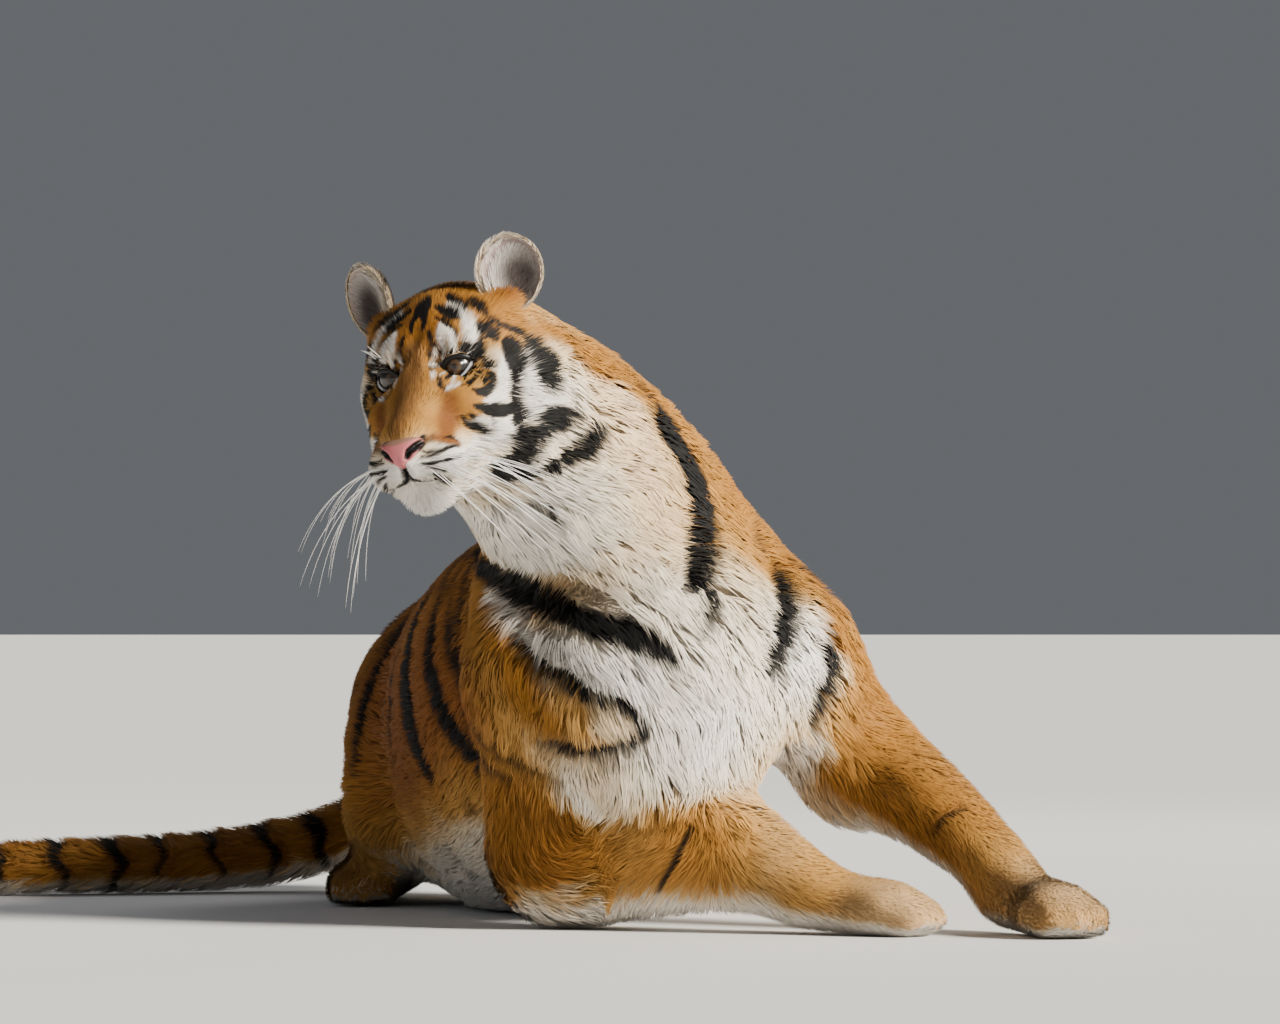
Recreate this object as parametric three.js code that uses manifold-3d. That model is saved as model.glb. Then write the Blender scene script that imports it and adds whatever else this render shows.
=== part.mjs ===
// A siberian tiger lying on its chest, forelegs reaching out to its left, head turned to its right.
// Millimetres, +Z up. The animal faces -Y and its left side is +X.
// The coat's outer form is one smooth field. Each named part is a length of it, meshed at its own
// fineness and parted from its neighbours by thin cuts.
import * as THREE from 'three';
import { mergeVertices } from 'three/addons/utils/BufferGeometryUtils.js';
import Module from 'manifold-3d';

const wasm = await Module();
wasm.setup();

// ---------------------------------------------------------------- driving sizes
const HALF_CUT = 0.25; // half the width of the cut between two parts
const SEAT_GAP = 0.5; // room round an eye, an ear or the nose where it sits in the head
const GROUND = 3; // the underside is pressed flat at this height, where the animal lies on it
const FAR = 90; // a field is only worked out nearer to its shape than this

// Meshes: the cell across one, how many triangles it is thinned to before it is cut, and its room.
const MESHES = {
  body: { cell: 18, triangles: 1850, room: [[-1080, -340, -40], [480, 1200, 800]] },
  head: { cell: 8, triangles: 1500, room: [[-450, -560, 440], [60, -20, 880]] },
  paw: { cell: 9, triangles: 260 },
};
const PAW_ROOM = { wide: 110, ahead: 165, behind: 30, below: 30, above: 125 };

const EYE = { x: 44, y: 16, z: -2, radius: 19 };
const EAR = {
  base: [91, 96, 58],
  up: [0.2, 0.2, 0.96],
  out: [0.42, -0.89, 0],
  lift: 23, // from the base to the middle of the cup
  wide: 40,
  tall: 47,
  deep: 25,
  thick: 13,
};

// The head's own frame has its origin midway between the eyes, +X to its left and +Y to its back.
const HEAD_AT = [-256, -320, 672];
const HEAD_PITCH = 14.5;
const HEAD_ROLL = -9.7;
const HEAD_YAW = -22.5;

// Centre lines as stations [x, y, z, half width, half height].
const SPINE = [
  [-168, 1035, 205, 80, 78],
  [-178, 945, 242, 138, 152],
  [-184, 820, 242, 168, 212],
  [-172, 640, 234, 170, 242],
  [-135, 440, 246, 188, 256],
  [-75, 230, 282, 194, 252],
  [-5, 50, 338, 176, 222],
  [40, -70, 325, 140, 172],
];
const NECK = [
  [-5, 110, 420, 168, 170],
  [-35, 0, 502, 150, 152],
  [-100, -95, 580, 143, 143],
  [-172, -180, 650, 122, 120],
];
const TAIL = [
  [-166, 1000, 215, 84, 80],
  [-225, 1075, 168, 62, 60],
  [-330, 1110, 118, 53, 53],
  [-470, 1085, 66, 49, 49],
  [-640, 1020, 45, 46, 46],
  [-800, 965, 43, 43, 43],
  [-930, 925, 40, 40, 40],
  [-1010, 902, 32, 30, 30],
];

// Each limb has its bones, its paw [heel, toes] and the egg-shaped cells that part it from the trunk.
const LIMBS = {
  right_fore: {
    bones: [
      [[-85, 130, 470, 78, 78], [-112, 30, 400, 92, 92], [-116, -40, 310, 98, 98]],
      [[-116, -40, 310, 98, 98], [-108, -20, 200, 88, 88], [-100, -5, 100, 82, 88]],
      [[-100, -5, 88, 82, 92], [30, -75, 102, 74, 86], [122, -118, 92, 62, 72], [198, -154, 62, 46, 47]],
    ],
    paw: [[190, -150], [292, -194]],
    eggs: [
      [[-122, -30, 245], [112, 128, 222], [0, 0, 6]],
      [[-100, -10, 100], [122, 122, 125]],
      [[60, -90, 82], [245, 118, 112], [0, 4, -24]],
      [[262, -182, 40], [140, 118, 110], [0, 0, -24]],
    ],
    joint: { at: [-48, -34, 118], out: [0.9, -0.42, -0.05] },
    wrist: { at: [182, -148, 60], out: [0.92, -0.39, 0] },
    names: ['right_upper_arm', 'right_forearm', 'right_forepaw'],
  },
  left_fore: {
    bones: [
      [[70, 150, 455, 78, 78], [125, 60, 400, 92, 92], [165, 0, 335, 98, 98]],
      [[165, 0, 335, 98, 98], [220, 35, 268, 86, 86], [268, 58, 205, 76, 76]],
      [[268, 58, 200, 74, 74], [328, -12, 172, 66, 64], [392, -84, 120, 54, 52], [446, -142, 62, 44, 43]],
    ],
    paw: [[442, -138], [492, -240]],
    eggs: [
      [[205, 20, 285], [128, 135, 185], [0, 42, 10]],
      [[274, 48, 202], [122, 122, 122]],
      [[360, -60, 125], [125, 165, 125], [38, 0, 34]],
      [[485, -215, 45], [112, 150, 110], [0, 0, 22]],
    ],
    joint: { at: [287, 36, 188], out: [0.55, -0.7, -0.42] },
    wrist: { at: [438, -134, 60], out: [0.45, -0.88, -0.1] },
    names: ['left_upper_arm', 'left_forearm', 'left_forepaw'],
  },
  right_hind: {
    bones: [
      [[-225, 900, 270, 105, 120], [-268, 800, 250, 118, 150], [-300, 690, 205, 96, 135],
        [-312, 605, 160, 80, 100]],
      [[-312, 610, 125, 70, 80], [-322, 720, 88, 60, 66], [-330, 820, 62, 50, 52],
        [-334, 905, 46, 42, 42]],
    ],
    paw: [[-335, 880], [-362, 640]],
    eggs: [
      [[-305, 735, 205], [118, 225, 172], [-14, 0, 4]],
      [[-346, 745, 40], [125, 280, 90], [0, 0, 4]],
    ],
    joint: { at: [-320, 700, 88], out: [-0.1, 0.2, -1] },
    wrist: { at: [-338, 790, 45], out: [0.06, -1, -0.1] },
    names: ['right_thigh', 'right_shank', 'right_hindpaw'],
  },
  left_hind: {
    bones: [
      [[-140, 900, 270, 105, 120], [-98, 800, 250, 118, 150], [-62, 690, 205, 96, 135],
        [-48, 605, 160, 80, 100]],
      [[-48, 610, 125, 70, 80], [-42, 720, 88, 60, 66], [-40, 820, 62, 50, 52],
        [-40, 905, 46, 42, 42]],
    ],
    paw: [[-40, 880], [-8, 640]],
    eggs: [
      [[-58, 735, 205], [118, 225, 172], [-14, 0, -4]],
      [[-24, 745, 40], [128, 285, 90], [0, 0, -6]],
    ],
    joint: { at: [-46, 700, 88], out: [0.1, 0.2, -1] },
    wrist: { at: [-30, 790, 45], out: [0.08, -1, -0.1] },
    names: ['left_thigh', 'left_shank', 'left_hindpaw'],
  },
};

// Planes that part one length from the next: a point, and the direction of the part beyond.
const NECK_CUT = { head: [0, 112, -20], out: [0, -0.93, 0.36] };
const MUZZLE_CUT = { head: [0, -22, -60], out: [0, -1, -0.22] };
const CHEST_CUT = { at: [-28, 10, 490], out: [-0.42, -0.62, 0.66] };
const BELLY_CUT = { at: [-125, 390, 260], out: [-0.22, 1, 0] };
const RUMP_CUT = { at: [-178, 720, 250], out: [-0.06, 1, 0] };
const TAIL_CUTS = [
  { at: [-200, 1045, 186], out: [-0.72, 0.62, -0.3] },
  { at: [-400, 1102, 92], out: [-0.95, -0.12, -0.3] },
  { at: [-620, 1028, 50], out: [-0.96, -0.28, 0] },
  { at: [-830, 955, 46], out: [-0.96, -0.28, 0] },
];
const JAW_CELL = [[0, -42, -158], [70, 72, 38]];
const NOSE_CELL = [[0, -112, -66], [29, 17, 21]];

// ---------------------------------------------------------------- frames and small helpers
const v = (x, y, z) => new THREE.Vector3(x, y, z);
const degrees = (angles) => angles.map(THREE.MathUtils.degToRad);
const euler = (angles) => new THREE.Euler(...degrees(angles));
const box = ([a, b]) => new THREE.Box3(v(...a), v(...b));

const headFrame = new THREE.Matrix4()
  .makeRotationFromEuler(new THREE.Euler(...degrees([HEAD_PITCH, HEAD_ROLL, HEAD_YAW]), 'ZXY'))
  .setPosition(...HEAD_AT);
const inHead = (point) => v(...point).applyMatrix4(headFrame).toArray();
const headWay = (way) => v(...way).transformDirection(headFrame).toArray();

// ---------------------------------------------------------------- fields
// A field gives the distance from its surface, in mm, and is negative inside.
function ellipsoid(middle, radii, turn = [0, 0, 0]) {
  const back = new THREE.Quaternion().setFromEuler(euler(turn)).invert();
  const at = v(...middle);
  const reach = Math.max(...radii);
  const q = v(0, 0, 0);
  const [a, b, c] = radii;
  return (p) => {
    q.copy(p).sub(at);
    const away = q.length() - reach;
    if (away > FAR) return away;
    q.applyQuaternion(back);
    const near = Math.hypot(q.x / a, q.y / b, q.z / c);
    const slope = Math.hypot(q.x / (a * a), q.y / (b * b), q.z / (c * c));
    return slope < 1e-9 ? -Math.min(a, b, c) : (near * (near - 1)) / slope;
  };
}

// An oval section carried along a smooth line through the stations.
function sweep(stations) {
  const count = 8 * (stations.length - 1);
  const line = new THREE.CatmullRomCurve3(stations.map(([x, y, z]) => v(x, y, z)));
  const sizes = new THREE.CatmullRomCurve3(stations.map(([, , , w, h]) => v(w, h, 0)));
  const spots = [];
  for (let i = 0; i <= count; i++) {
    const along = line.getTangent(i / count);
    const side = v(0, 0, 1).cross(along).normalize();
    const size = sizes.getPoint(i / count);
    spots.push({ at: line.getPoint(i / count), side, up: along.clone().cross(side), size });
  }
  const bounds = new THREE.Box3().setFromPoints(spots.map((s) => s.at));
  bounds.expandByScalar(Math.max(...stations.flatMap(([, , , w, h]) => [w, h])));
  const q = v(0, 0, 0);
  const d = v(0, 0, 0);
  return (p) => {
    const away = bounds.distanceToPoint(p);
    if (away > FAR) return away;
    let nearest = 0;
    let least = Infinity;
    for (let i = 0; i <= count; i++) {
      const gap = p.distanceToSquared(spots[i].at);
      if (gap < least) {
        least = gap;
        nearest = i;
      }
    }
    let from = 0;
    let t = 0;
    least = Infinity;
    for (const i of [Math.max(nearest - 1, 0), Math.min(nearest, count - 1)]) {
      d.subVectors(spots[i + 1].at, spots[i].at);
      const part = THREE.MathUtils.clamp(q.subVectors(p, spots[i].at).dot(d) / d.lengthSq(), 0, 1);
      const gap = q.addScaledVector(d, -part).lengthSq();
      if (gap < least) {
        least = gap;
        from = i;
        t = part;
      }
    }
    const a = spots[from];
    const b = spots[from + 1];
    const wide = a.size.x + (b.size.x - a.size.x) * t;
    const high = a.size.y + (b.size.y - a.size.y) * t;
    d.subVectors(b.at, a.at);
    q.subVectors(p, a.at).addScaledVector(d, -t);
    const x = q.dot(a.side) * (1 - t) + q.dot(b.side) * t;
    const z = q.dot(a.up) * (1 - t) + q.dot(b.up) * t;
    const y = q.dot(d) / d.length();
    const thin = Math.min(wide, high);
    const near = Math.hypot(x / wide, z / high, y / thin);
    const slope = Math.hypot(x / (wide * wide), z / (high * high), y / (thin * thin));
    return slope < 1e-9 ? -thin : (near * (near - 1)) / slope;
  };
}

// Joins two distances with a fillet about k across.
function smooth(a, b, k) {
  const h = Math.max(k - Math.abs(a - b), 0) / k;
  return Math.min(a, b) - (h * h * k) / 4;
}

const join = (k, ...fields) => (p) => fields.reduce((d, f) => smooth(d, f(p), k), 1e4);
const dent = (k, whole, hollow) => (p) => -smooth(-whole(p), hollow(p), k);

// A shape given for the left side, on both sides of the head's middle plane.
function onHead(field) {
  const back = headFrame.clone().invert();
  const middle = v(...inHead([0, 30, -40]));
  const q = v(0, 0, 0);
  return (p) => {
    const away = p.distanceTo(middle) - 230;
    if (away > FAR) return away;
    q.copy(p).applyMatrix4(back);
    return field(q.set(Math.abs(q.x), q.y, q.z));
  };
}

function headField() {
  const skull = ellipsoid([0, 108, 8], [88, 102, 78]);
  const bridge = sweep([
    [0, 70, 22, 62, 46],
    [0, 22, -4, 50, 36],
    [0, -20, -28, 39, 31],
    [0, -60, -50, 32, 27],
    [0, -96, -70, 27, 22],
  ]);
  const brow = ellipsoid([38, 14, 20], [28, 26, 16], [0, 14, 0]);
  const temple = ellipsoid([56, 76, 22], [34, 56, 40]);
  const earMound = ellipsoid([80, 106, 40], [30, 30, 28]);
  const cheekbone = ellipsoid([68, 52, -26], [38, 56, 42]);
  const underEye = ellipsoid([40, 8, -50], [44, 54, 40]);
  const muzzle = ellipsoid([0, -50, -94], [54, 58, 40]);
  const front = ellipsoid([0, -82, -92], [36, 31, 30]);
  const whiskerPad = ellipsoid([27, -66, -96], [34, 43, 34], [0, 0, 10]);
  const nose = ellipsoid([0, -98, -68], [28, 19, 20]);
  const chin = ellipsoid([0, -58, -140], [40, 31, 25]);
  const jaw = ellipsoid([0, 6, -118], [57, 80, 40]);
  const cheek = ellipsoid([50, 22, -92], [42, 58, 42]);
  const ruff = ellipsoid([84, 102, -64], [50, 60, 76], [0, 10, 0]);
  const lowRuff = ellipsoid([60, 76, -118], [54, 62, 48]);
  const back = join(30, skull, temple, earMound, cheekbone, underEye, cheek, ruff, lowRuff, brow, bridge);
  const lips = join(18, join(18, muzzle, front, nose), whiskerPad, join(24, jaw, chin));
  const socket = ellipsoid([EYE.x + 7, -15, -2], [22, 19, 12], [0, 10, 20]);
  return dent(9, join(20, back, lips), socket);
}

// A paw lies flat: a narrow wrist or heel, a broad front and four toes.
function pawField([[x0, y0], [x1, y1]]) {
  const ahead = v(x1 - x0, y1 - y0, 0).normalize();
  const turn = [0, 0, THREE.MathUtils.radToDeg(Math.atan2(ahead.y, ahead.x))];
  const spot = (on, off, z) => [
    x1 + ahead.x * on - ahead.y * off,
    y1 + ahead.y * on + ahead.x * off,
    z,
  ];
  const back = sweep([
    [x0, y0, 52, 43, 43],
    [(x0 + x1) / 2, (y0 + y1) / 2, 42, 43, 39],
    [x1, y1, 36, 48, 36],
  ]);
  const front = ellipsoid(spot(10, 0, 32), [52, 53, 32], turn);
  const toes = [-1.5, -0.5, 0.5, 1.5].map((n) => (
    ellipsoid(spot(52 - 8 * Math.abs(n) ** 1.6, n * 25, 25), [32, 15.5, 25], turn)
  ));
  return join(9, join(20, back, front), join(4, ...toes));
}

const limbs = Object.values(LIMBS);
const trunk = join(60, sweep(SPINE), ellipsoid([18, -108, 290], [158, 100, 156], [8, 0, 12]));
const torso = join(60, trunk, sweep(NECK));
const flesh = join(42, torso, ...limbs.flatMap((limb) => limb.bones.map(sweep)));
const whole = join(34, join(40, flesh, sweep(TAIL)), onHead(headField()));
const body = join(18, whole, ...limbs.map((limb) => pawField(limb.paw)));

// ---------------------------------------------------------------- from a field to a solid
// One vertex in each cell that the surface crosses, drawn onto the surface.
function surface(field, room, cell) {
  const size = room.getSize(v(0, 0, 0));
  const [nx, ny, nz] = size.toArray().map((length) => Math.ceil(length / cell) + 2);
  const corner = room.min.clone().subScalar(cell / 2);
  const index = (i, j, k) => i + nx * (j + ny * k);
  const values = new Float32Array(nx * ny * nz);
  const p = v(0, 0, 0);
  for (let k = 0; k < nz; k++) {
    for (let j = 0; j < ny; j++) {
      for (let i = 0; i < nx; i++) {
        p.set(i, j, k).multiplyScalar(cell).add(corner);
        const outer = i * j * k === 0 || i === nx - 1 || j === ny - 1 || k === nz - 1;
        values[index(i, j, k)] = outer ? Math.max(field(p), cell / 4) : field(p);
      }
    }
  }
  settle(values, [nx, ny, nz], index);
  const corners = [0, 1].flatMap((c) => [0, 1].flatMap((b) => [0, 1].map((a) => [a, b, c])));
  const edges = corners.flatMap((a, m) => corners.slice(m + 1).map((b) => [a, b]))
    .filter(([a, b]) => Math.abs(a[0] - b[0]) + Math.abs(a[1] - b[1]) + Math.abs(a[2] - b[2]) === 1);
  const ids = new Int32Array(nx * ny * nz).fill(-1);
  const places = [];
  const inner = new THREE.Box3(
    corner.clone().addScalar(cell),
    v(nx - 2, ny - 2, nz - 2).multiplyScalar(cell).add(corner),
  );
  for (let k = 0; k < nz - 1; k++) {
    for (let j = 0; j < ny - 1; j++) {
      for (let i = 0; i < nx - 1; i++) {
        const sum = v(0, 0, 0);
        let count = 0;
        for (const [a, b] of edges) {
          const fa = values[index(i + a[0], j + a[1], k + a[2])];
          const fb = values[index(i + b[0], j + b[1], k + b[2])];
          if (fa < 0 === fb < 0) continue;
          const t = fa / (fa - fb);
          sum.add(v(a[0] + (b[0] - a[0]) * t, a[1] + (b[1] - a[1]) * t, a[2] + (b[2] - a[2]) * t));
          count += 1;
        }
        if (!count) continue;
        ids[index(i, j, k)] = places.length;
        sum.divideScalar(count).add(v(i, j, k)).multiplyScalar(cell).add(corner);
        places.push(inner.containsPoint(sum) ? drawnOnto(field, sum, cell / 3) : sum);
      }
    }
  }
  const faces = [];
  const quad = (inside, a, b, c, d) => {
    const [q0, q1, q2, q3] = inside ? [a, b, c, d] : [d, c, b, a];
    const short = places[q0].distanceTo(places[q2]) < places[q1].distanceTo(places[q3]);
    faces.push(...(short ? [q0, q1, q2, q0, q2, q3] : [q0, q1, q3, q1, q2, q3]));
  };
  for (let k = 0; k < nz - 1; k++) {
    for (let j = 0; j < ny - 1; j++) {
      for (let i = 0; i < nx - 1; i++) {
        const here = values[index(i, j, k)] < 0;
        const id = (a, b, c) => ids[index(i - a, j - b, k - c)];
        if (j && k && here !== values[index(i + 1, j, k)] < 0) {
          quad(here, id(0, 1, 1), id(0, 0, 1), id(0, 0, 0), id(0, 1, 0));
        }
        if (i && k && here !== values[index(i, j + 1, k)] < 0) {
          quad(here, id(1, 0, 1), id(1, 0, 0), id(0, 0, 0), id(0, 0, 1));
        }
        if (i && j && here !== values[index(i, j, k + 1)] < 0) {
          quad(here, id(1, 1, 0), id(0, 1, 0), id(0, 0, 0), id(1, 0, 0));
        }
      }
    }
  }
  const geometry = new THREE.BufferGeometry();
  const numbers = places.flatMap((place) => place.toArray());
  geometry.setAttribute('position', new THREE.Float32BufferAttribute(numbers, 3));
  geometry.setIndex(faces);
  return geometry;
}

// Fills one corner of every square whose inside corners only meet across the diagonal.
function settle(values, [nx, ny, nz], index) {
  const squares = [[[1, 0, 0], [0, 1, 0]], [[0, 1, 0], [0, 0, 1]], [[0, 0, 1], [1, 0, 0]]];
  for (let changed = true; changed;) {
    changed = false;
    for (let k = 1; k < nz - 2; k++) {
      for (let j = 1; j < ny - 2; j++) {
        for (let i = 1; i < nx - 2; i++) {
          for (const [a, b] of squares) {
            const here = index(i, j, k);
            const one = index(i + a[0], j + a[1], k + a[2]);
            const two = index(i + b[0], j + b[1], k + b[2]);
            const far = index(i + a[0] + b[0], j + a[1] + b[1], k + a[2] + b[2]);
            const inside = [here, far, one, two].map((n) => values[n] < 0);
            if (inside[0] !== inside[1] || inside[2] !== inside[3] || inside[0] === inside[2]) continue;
            values[inside[0] ? one : here] = -0.5;
            changed = true;
          }
        }
      }
    }
  }
}

function drawnOnto(field, start, most) {
  const p = start.clone();
  const slope = v(0, 0, 0);
  const probe = v(0, 0, 0);
  for (let step = 0; step < 2; step++) {
    const here = field(p);
    for (const axis of ['x', 'y', 'z']) {
      probe.copy(p);
      probe[axis] += 1;
      slope[axis] = field(probe) - here;
    }
    const steep = Math.max(slope.lengthSq(), 0.2);
    p.addScaledVector(slope, THREE.MathUtils.clamp(-here / steep, -most, most));
  }
  return p;
}

// Folds up the edges that matter least, as told by the squared distances to the planes round them.
function thinned(geometry, target) {
  const spots = [];
  const numbers = geometry.attributes.position.array;
  for (let i = 0; i < numbers.length; i += 3) spots.push(v(...numbers.slice(i, i + 3)));
  let faces = [];
  const index = geometry.index.array;
  for (let i = 0; i < index.length; i += 3) faces.push([...index.slice(i, i + 3)]);
  const errors = spots.map(() => new Float64Array(10));
  faces.forEach((face) => addPlane(errors, face, spots));
  while (faces.length > target) {
    const fewer = foldPass(faces, spots, errors, target);
    if (fewer.length === faces.length) break;
    faces = fewer;
  }
  const used = [...new Set(faces.flat())];
  const renumber = new Map(used.map((old, n) => [old, n]));
  const thin = new THREE.BufferGeometry();
  const places = used.flatMap((n) => spots[n].toArray());
  thin.setAttribute('position', new THREE.Float32BufferAttribute(places, 3));
  thin.setIndex(faces.flat().map((n) => renumber.get(n)));
  return thin;
}

function addPlane(errors, face, spots) {
  const [a, b, c] = face.map((n) => spots[n]);
  const normal = b.clone().sub(a).cross(c.clone().sub(a));
  const area = normal.length() / 2;
  normal.normalize();
  const [x, y, z, w] = [...normal.toArray(), -normal.dot(a)];
  const plane = [x * x, x * y, x * z, x * w, y * y, y * z, y * w, z * z, z * w, w * w];
  face.forEach((n) => plane.forEach((term, k) => { errors[n][k] += term * area; }));
}

function planeError(q, { x, y, z }) {
  return x * (q[0] * x + 2 * (q[1] * y + q[2] * z + q[3])) + y * (q[4] * y + 2 * (q[5] * z + q[6]))
    + z * (q[7] * z + 2 * q[8]) + q[9];
}

// The best place for the vertex that an edge folds into, and what the fold costs.
function fold(a, b, spots, errors) {
  const q = errors[a].map((term, k) => term + errors[b][k]);
  const middle = spots[a].clone().lerp(spots[b], 0.5);
  const span = spots[a].distanceTo(spots[b]);
  const soft = 1e-3 * (q[0] + q[4] + q[7]);
  const m = new THREE.Matrix3().set(
    q[0] + soft, q[1], q[2], q[1], q[4] + soft, q[5], q[2], q[5], q[7] + soft,
  );
  const pull = middle.clone().multiplyScalar(soft).sub(v(q[3], q[6], q[8]));
  const best = pull.applyMatrix3(m.invert());
  const at = best.distanceTo(middle) < span ? best : middle;
  return { a, b, at, cost: planeError(q, at) + 1e-4 * span ** 4, q };
}

function foldPass(faces, spots, errors, target) {
  const around = new Map();
  faces.forEach((face) => face.forEach((n) => {
    if (!around.has(n)) around.set(n, []);
    around.get(n).push(face);
  }));
  const rings = new Map([...around].map(([n, own]) => [n, new Set(own.flat().filter((m) => m !== n))]));
  const edges = [...rings].flatMap(([a, ring]) => [...ring].filter((b) => b > a).map((b) => [a, b]));
  const folds = edges.map(([a, b]) => fold(a, b, spots, errors)).sort((one, two) => one.cost - two.cost);
  const still = new Set();
  const into = new Map();
  let left = faces.length;
  for (const { a, b, at, q } of folds.slice(0, Math.ceil(folds.length / 3))) {
    if (left <= target) break;
    if (still.has(a) || still.has(b)) continue;
    const shared = [...rings.get(a)].filter((n) => rings.get(b).has(n));
    if (shared.length !== 2 || shared.some((n) => rings.get(n).size < 4)) continue;
    const kept = [...around.get(a), ...around.get(b)].filter((f) => !(f.includes(a) && f.includes(b)));
    if (kept.some((face) => turnsOver(face, a, b, at, spots))) continue;
    [a, b, ...rings.get(a), ...rings.get(b)].forEach((n) => still.add(n));
    into.set(b, a);
    spots[a].copy(at);
    errors[a] = q;
    left -= 2;
  }
  return faces.map((face) => face.map((n) => into.get(n) ?? n))
    .filter(([a, b, c]) => a !== b && b !== c && c !== a);
}

function turnsOver(face, a, b, at, spots) {
  const way = (p) => p[1].clone().sub(p[0]).cross(p[2].clone().sub(p[0])).normalize();
  const before = way(face.map((n) => spots[n]));
  const after = way(face.map((n) => (n === a || n === b ? at : spots[n])));
  return before.dot(after) < 0.3;
}

function solid(geometry) {
  const bare = geometry.clone();
  bare.deleteAttribute('normal');
  bare.deleteAttribute('uv');
  const merged = mergeVertices(bare, 1e-4);
  return new wasm.Manifold(new wasm.Mesh({
    numProp: 3,
    vertProperties: merged.attributes.position.array,
    triVerts: new Uint32Array(merged.index.array),
  }));
}

// A thinned solid of all the coat within a room.
function meshed({ cell, triangles, room }) {
  return solid(thinned(surface(body, box(room), cell), triangles));
}

// Everything behind a plane, its face moved back by half a cut.
function behind({ at, out }, back = HALF_CUT) {
  const SIDE = 6000;
  const block = new THREE.BoxGeometry(SIDE, SIDE, SIDE);
  block.translate(0, 0, -SIDE / 2 - back);
  block.applyQuaternion(new THREE.Quaternion().setFromUnitVectors(v(0, 0, 1), v(...out).normalize()));
  return solid(block.translate(...at));
}

const turned = ({ at, out }) => ({ at, out: out.map((c) => -c) });
const before = (cut) => (whole) => whole.intersect(behind(cut));
const beyond = (cut) => (whole) => whole.intersect(behind(turned(cut)));
const cutTo = (whole, ...cuts) => cuts.reduce((part, cut) => cut(part), whole);

function egg([middle, radii, turn = [0, 0, 0]], grow, frame = new THREE.Matrix4()) {
  const ball = new THREE.SphereGeometry(1, 9, 6);
  ball.scale(...radii.map((r) => r + grow));
  ball.applyQuaternion(new THREE.Quaternion().setFromEuler(euler(turn)));
  return solid(ball.translate(...middle).applyMatrix4(frame));
}

function limbCell(limb, grow) {
  return limb.eggs.map((one) => egg(one, grow)).reduce((a, b) => a.add(b));
}

// ---------------------------------------------------------------- the head's small parts
function eyeball(side, grow) {
  const ball = new THREE.SphereGeometry(EYE.radius + grow, 10, 7);
  return solid(ball.translate(side * EYE.x, EYE.y, EYE.z).applyMatrix4(headFrame));
}

// A cupped ear: a ball whose front half is pushed back into the other.
function ear(side, grow) {
  const shell = new THREE.SphereGeometry(1, 14, 8);
  const spots = shell.attributes.position;
  const p = v(0, 0, 0);
  for (let i = 0; i < spots.count; i++) {
    p.fromBufferAttribute(spots, i);
    const back = p.y > 0.01;
    const depth = Math.abs(p.y) * (EAR.deep - (back ? 0 : EAR.thick)) + (back ? grow : -2 * grow);
    const narrow = 1 - 0.26 * Math.max(0, -p.z) ** 1.3;
    spots.setXYZ(i, p.x * (EAR.wide + grow) * narrow, depth, p.z * (EAR.tall + grow));
  }
  const up = v(...EAR.up).normalize();
  const out = v(...EAR.out);
  out.addScaledVector(up, -out.dot(up)).normalize();
  const place = new THREE.Matrix4().makeBasis(up.clone().cross(out), out.clone().negate(), up);
  place.setPosition(v(...EAR.base).addScaledVector(up, EAR.lift));
  shell.applyMatrix4(place).applyMatrix4(headFrame);
  return side > 0 ? solid(shell) : mirrored(shell);
}

// A shape on the head's left, put on its right: the faces turn round with it.
function mirrored(geometry) {
  const across = new THREE.Matrix4().makeScale(-1, 1, 1);
  const other = geometry.clone().applyMatrix4(headFrame.clone().invert()).applyMatrix4(across);
  const index = other.index.array;
  for (let i = 0; i < index.length; i += 3) [index[i], index[i + 1]] = [index[i + 1], index[i]];
  return solid(other.applyMatrix4(headFrame));
}

// ---------------------------------------------------------------- finishes
const GOLD = new THREE.MeshStandardMaterial({ color: 0xb8702c, roughness: 0.85, metalness: 0 });
const CREAM = new THREE.MeshStandardMaterial({ color: 0xd9c9ae, roughness: 0.85, metalness: 0 });
const PINK = new THREE.MeshStandardMaterial({ color: 0xc0685e, roughness: 0.5, metalness: 0 });
const AMBER = new THREE.MeshStandardMaterial({ color: 0x5a3a1c, roughness: 0.15, metalness: 0 });

const group = new THREE.Group();

function add(name, manifold, material) {
  const mesh = manifold.getMesh();
  const geometry = new THREE.BufferGeometry();
  geometry.setAttribute('position', new THREE.Float32BufferAttribute(mesh.vertProperties, 3));
  geometry.setIndex([...mesh.triVerts]);
  const part = new THREE.Mesh(geometry, material.clone());
  part.name = name;
  group.add(part);
}

// ---------------------------------------------------------------- the parts
const FLOOR = { at: [0, 0, GROUND], out: [0, 0, -1] };

function addHead(neckCut) {
  const rough = cutTo(meshed(MESHES.head), beyond(neckCut));
  const muzzleCut = { at: inHead(MUZZLE_CUT.head), out: headWay(MUZZLE_CUT.out) };
  const seats = [1, -1].flatMap((side) => [eyeball(side, SEAT_GAP), ear(side, SEAT_GAP)]);
  const upper = rough.subtract(egg(JAW_CELL, HALF_CUT, headFrame));
  const muzzle = cutTo(upper, beyond(muzzleCut));
  add('head', seats.reduce((part, seat) => part.subtract(seat), cutTo(upper, before(muzzleCut))), GOLD);
  add('muzzle', muzzle.subtract(egg(NOSE_CELL, HALF_CUT, headFrame)), CREAM);
  add('nose', muzzle.intersect(egg(NOSE_CELL, -HALF_CUT, headFrame)), PINK);
  add('lower_jaw', rough.intersect(egg(JAW_CELL, -HALF_CUT, headFrame)), CREAM);
  for (const [name, side] of [['left', 1], ['right', -1]]) {
    add(`${name}_ear`, ear(side, 0), CREAM);
    add(`${name}_eye`, eyeball(side, 0), AMBER);
  }
}

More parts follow.
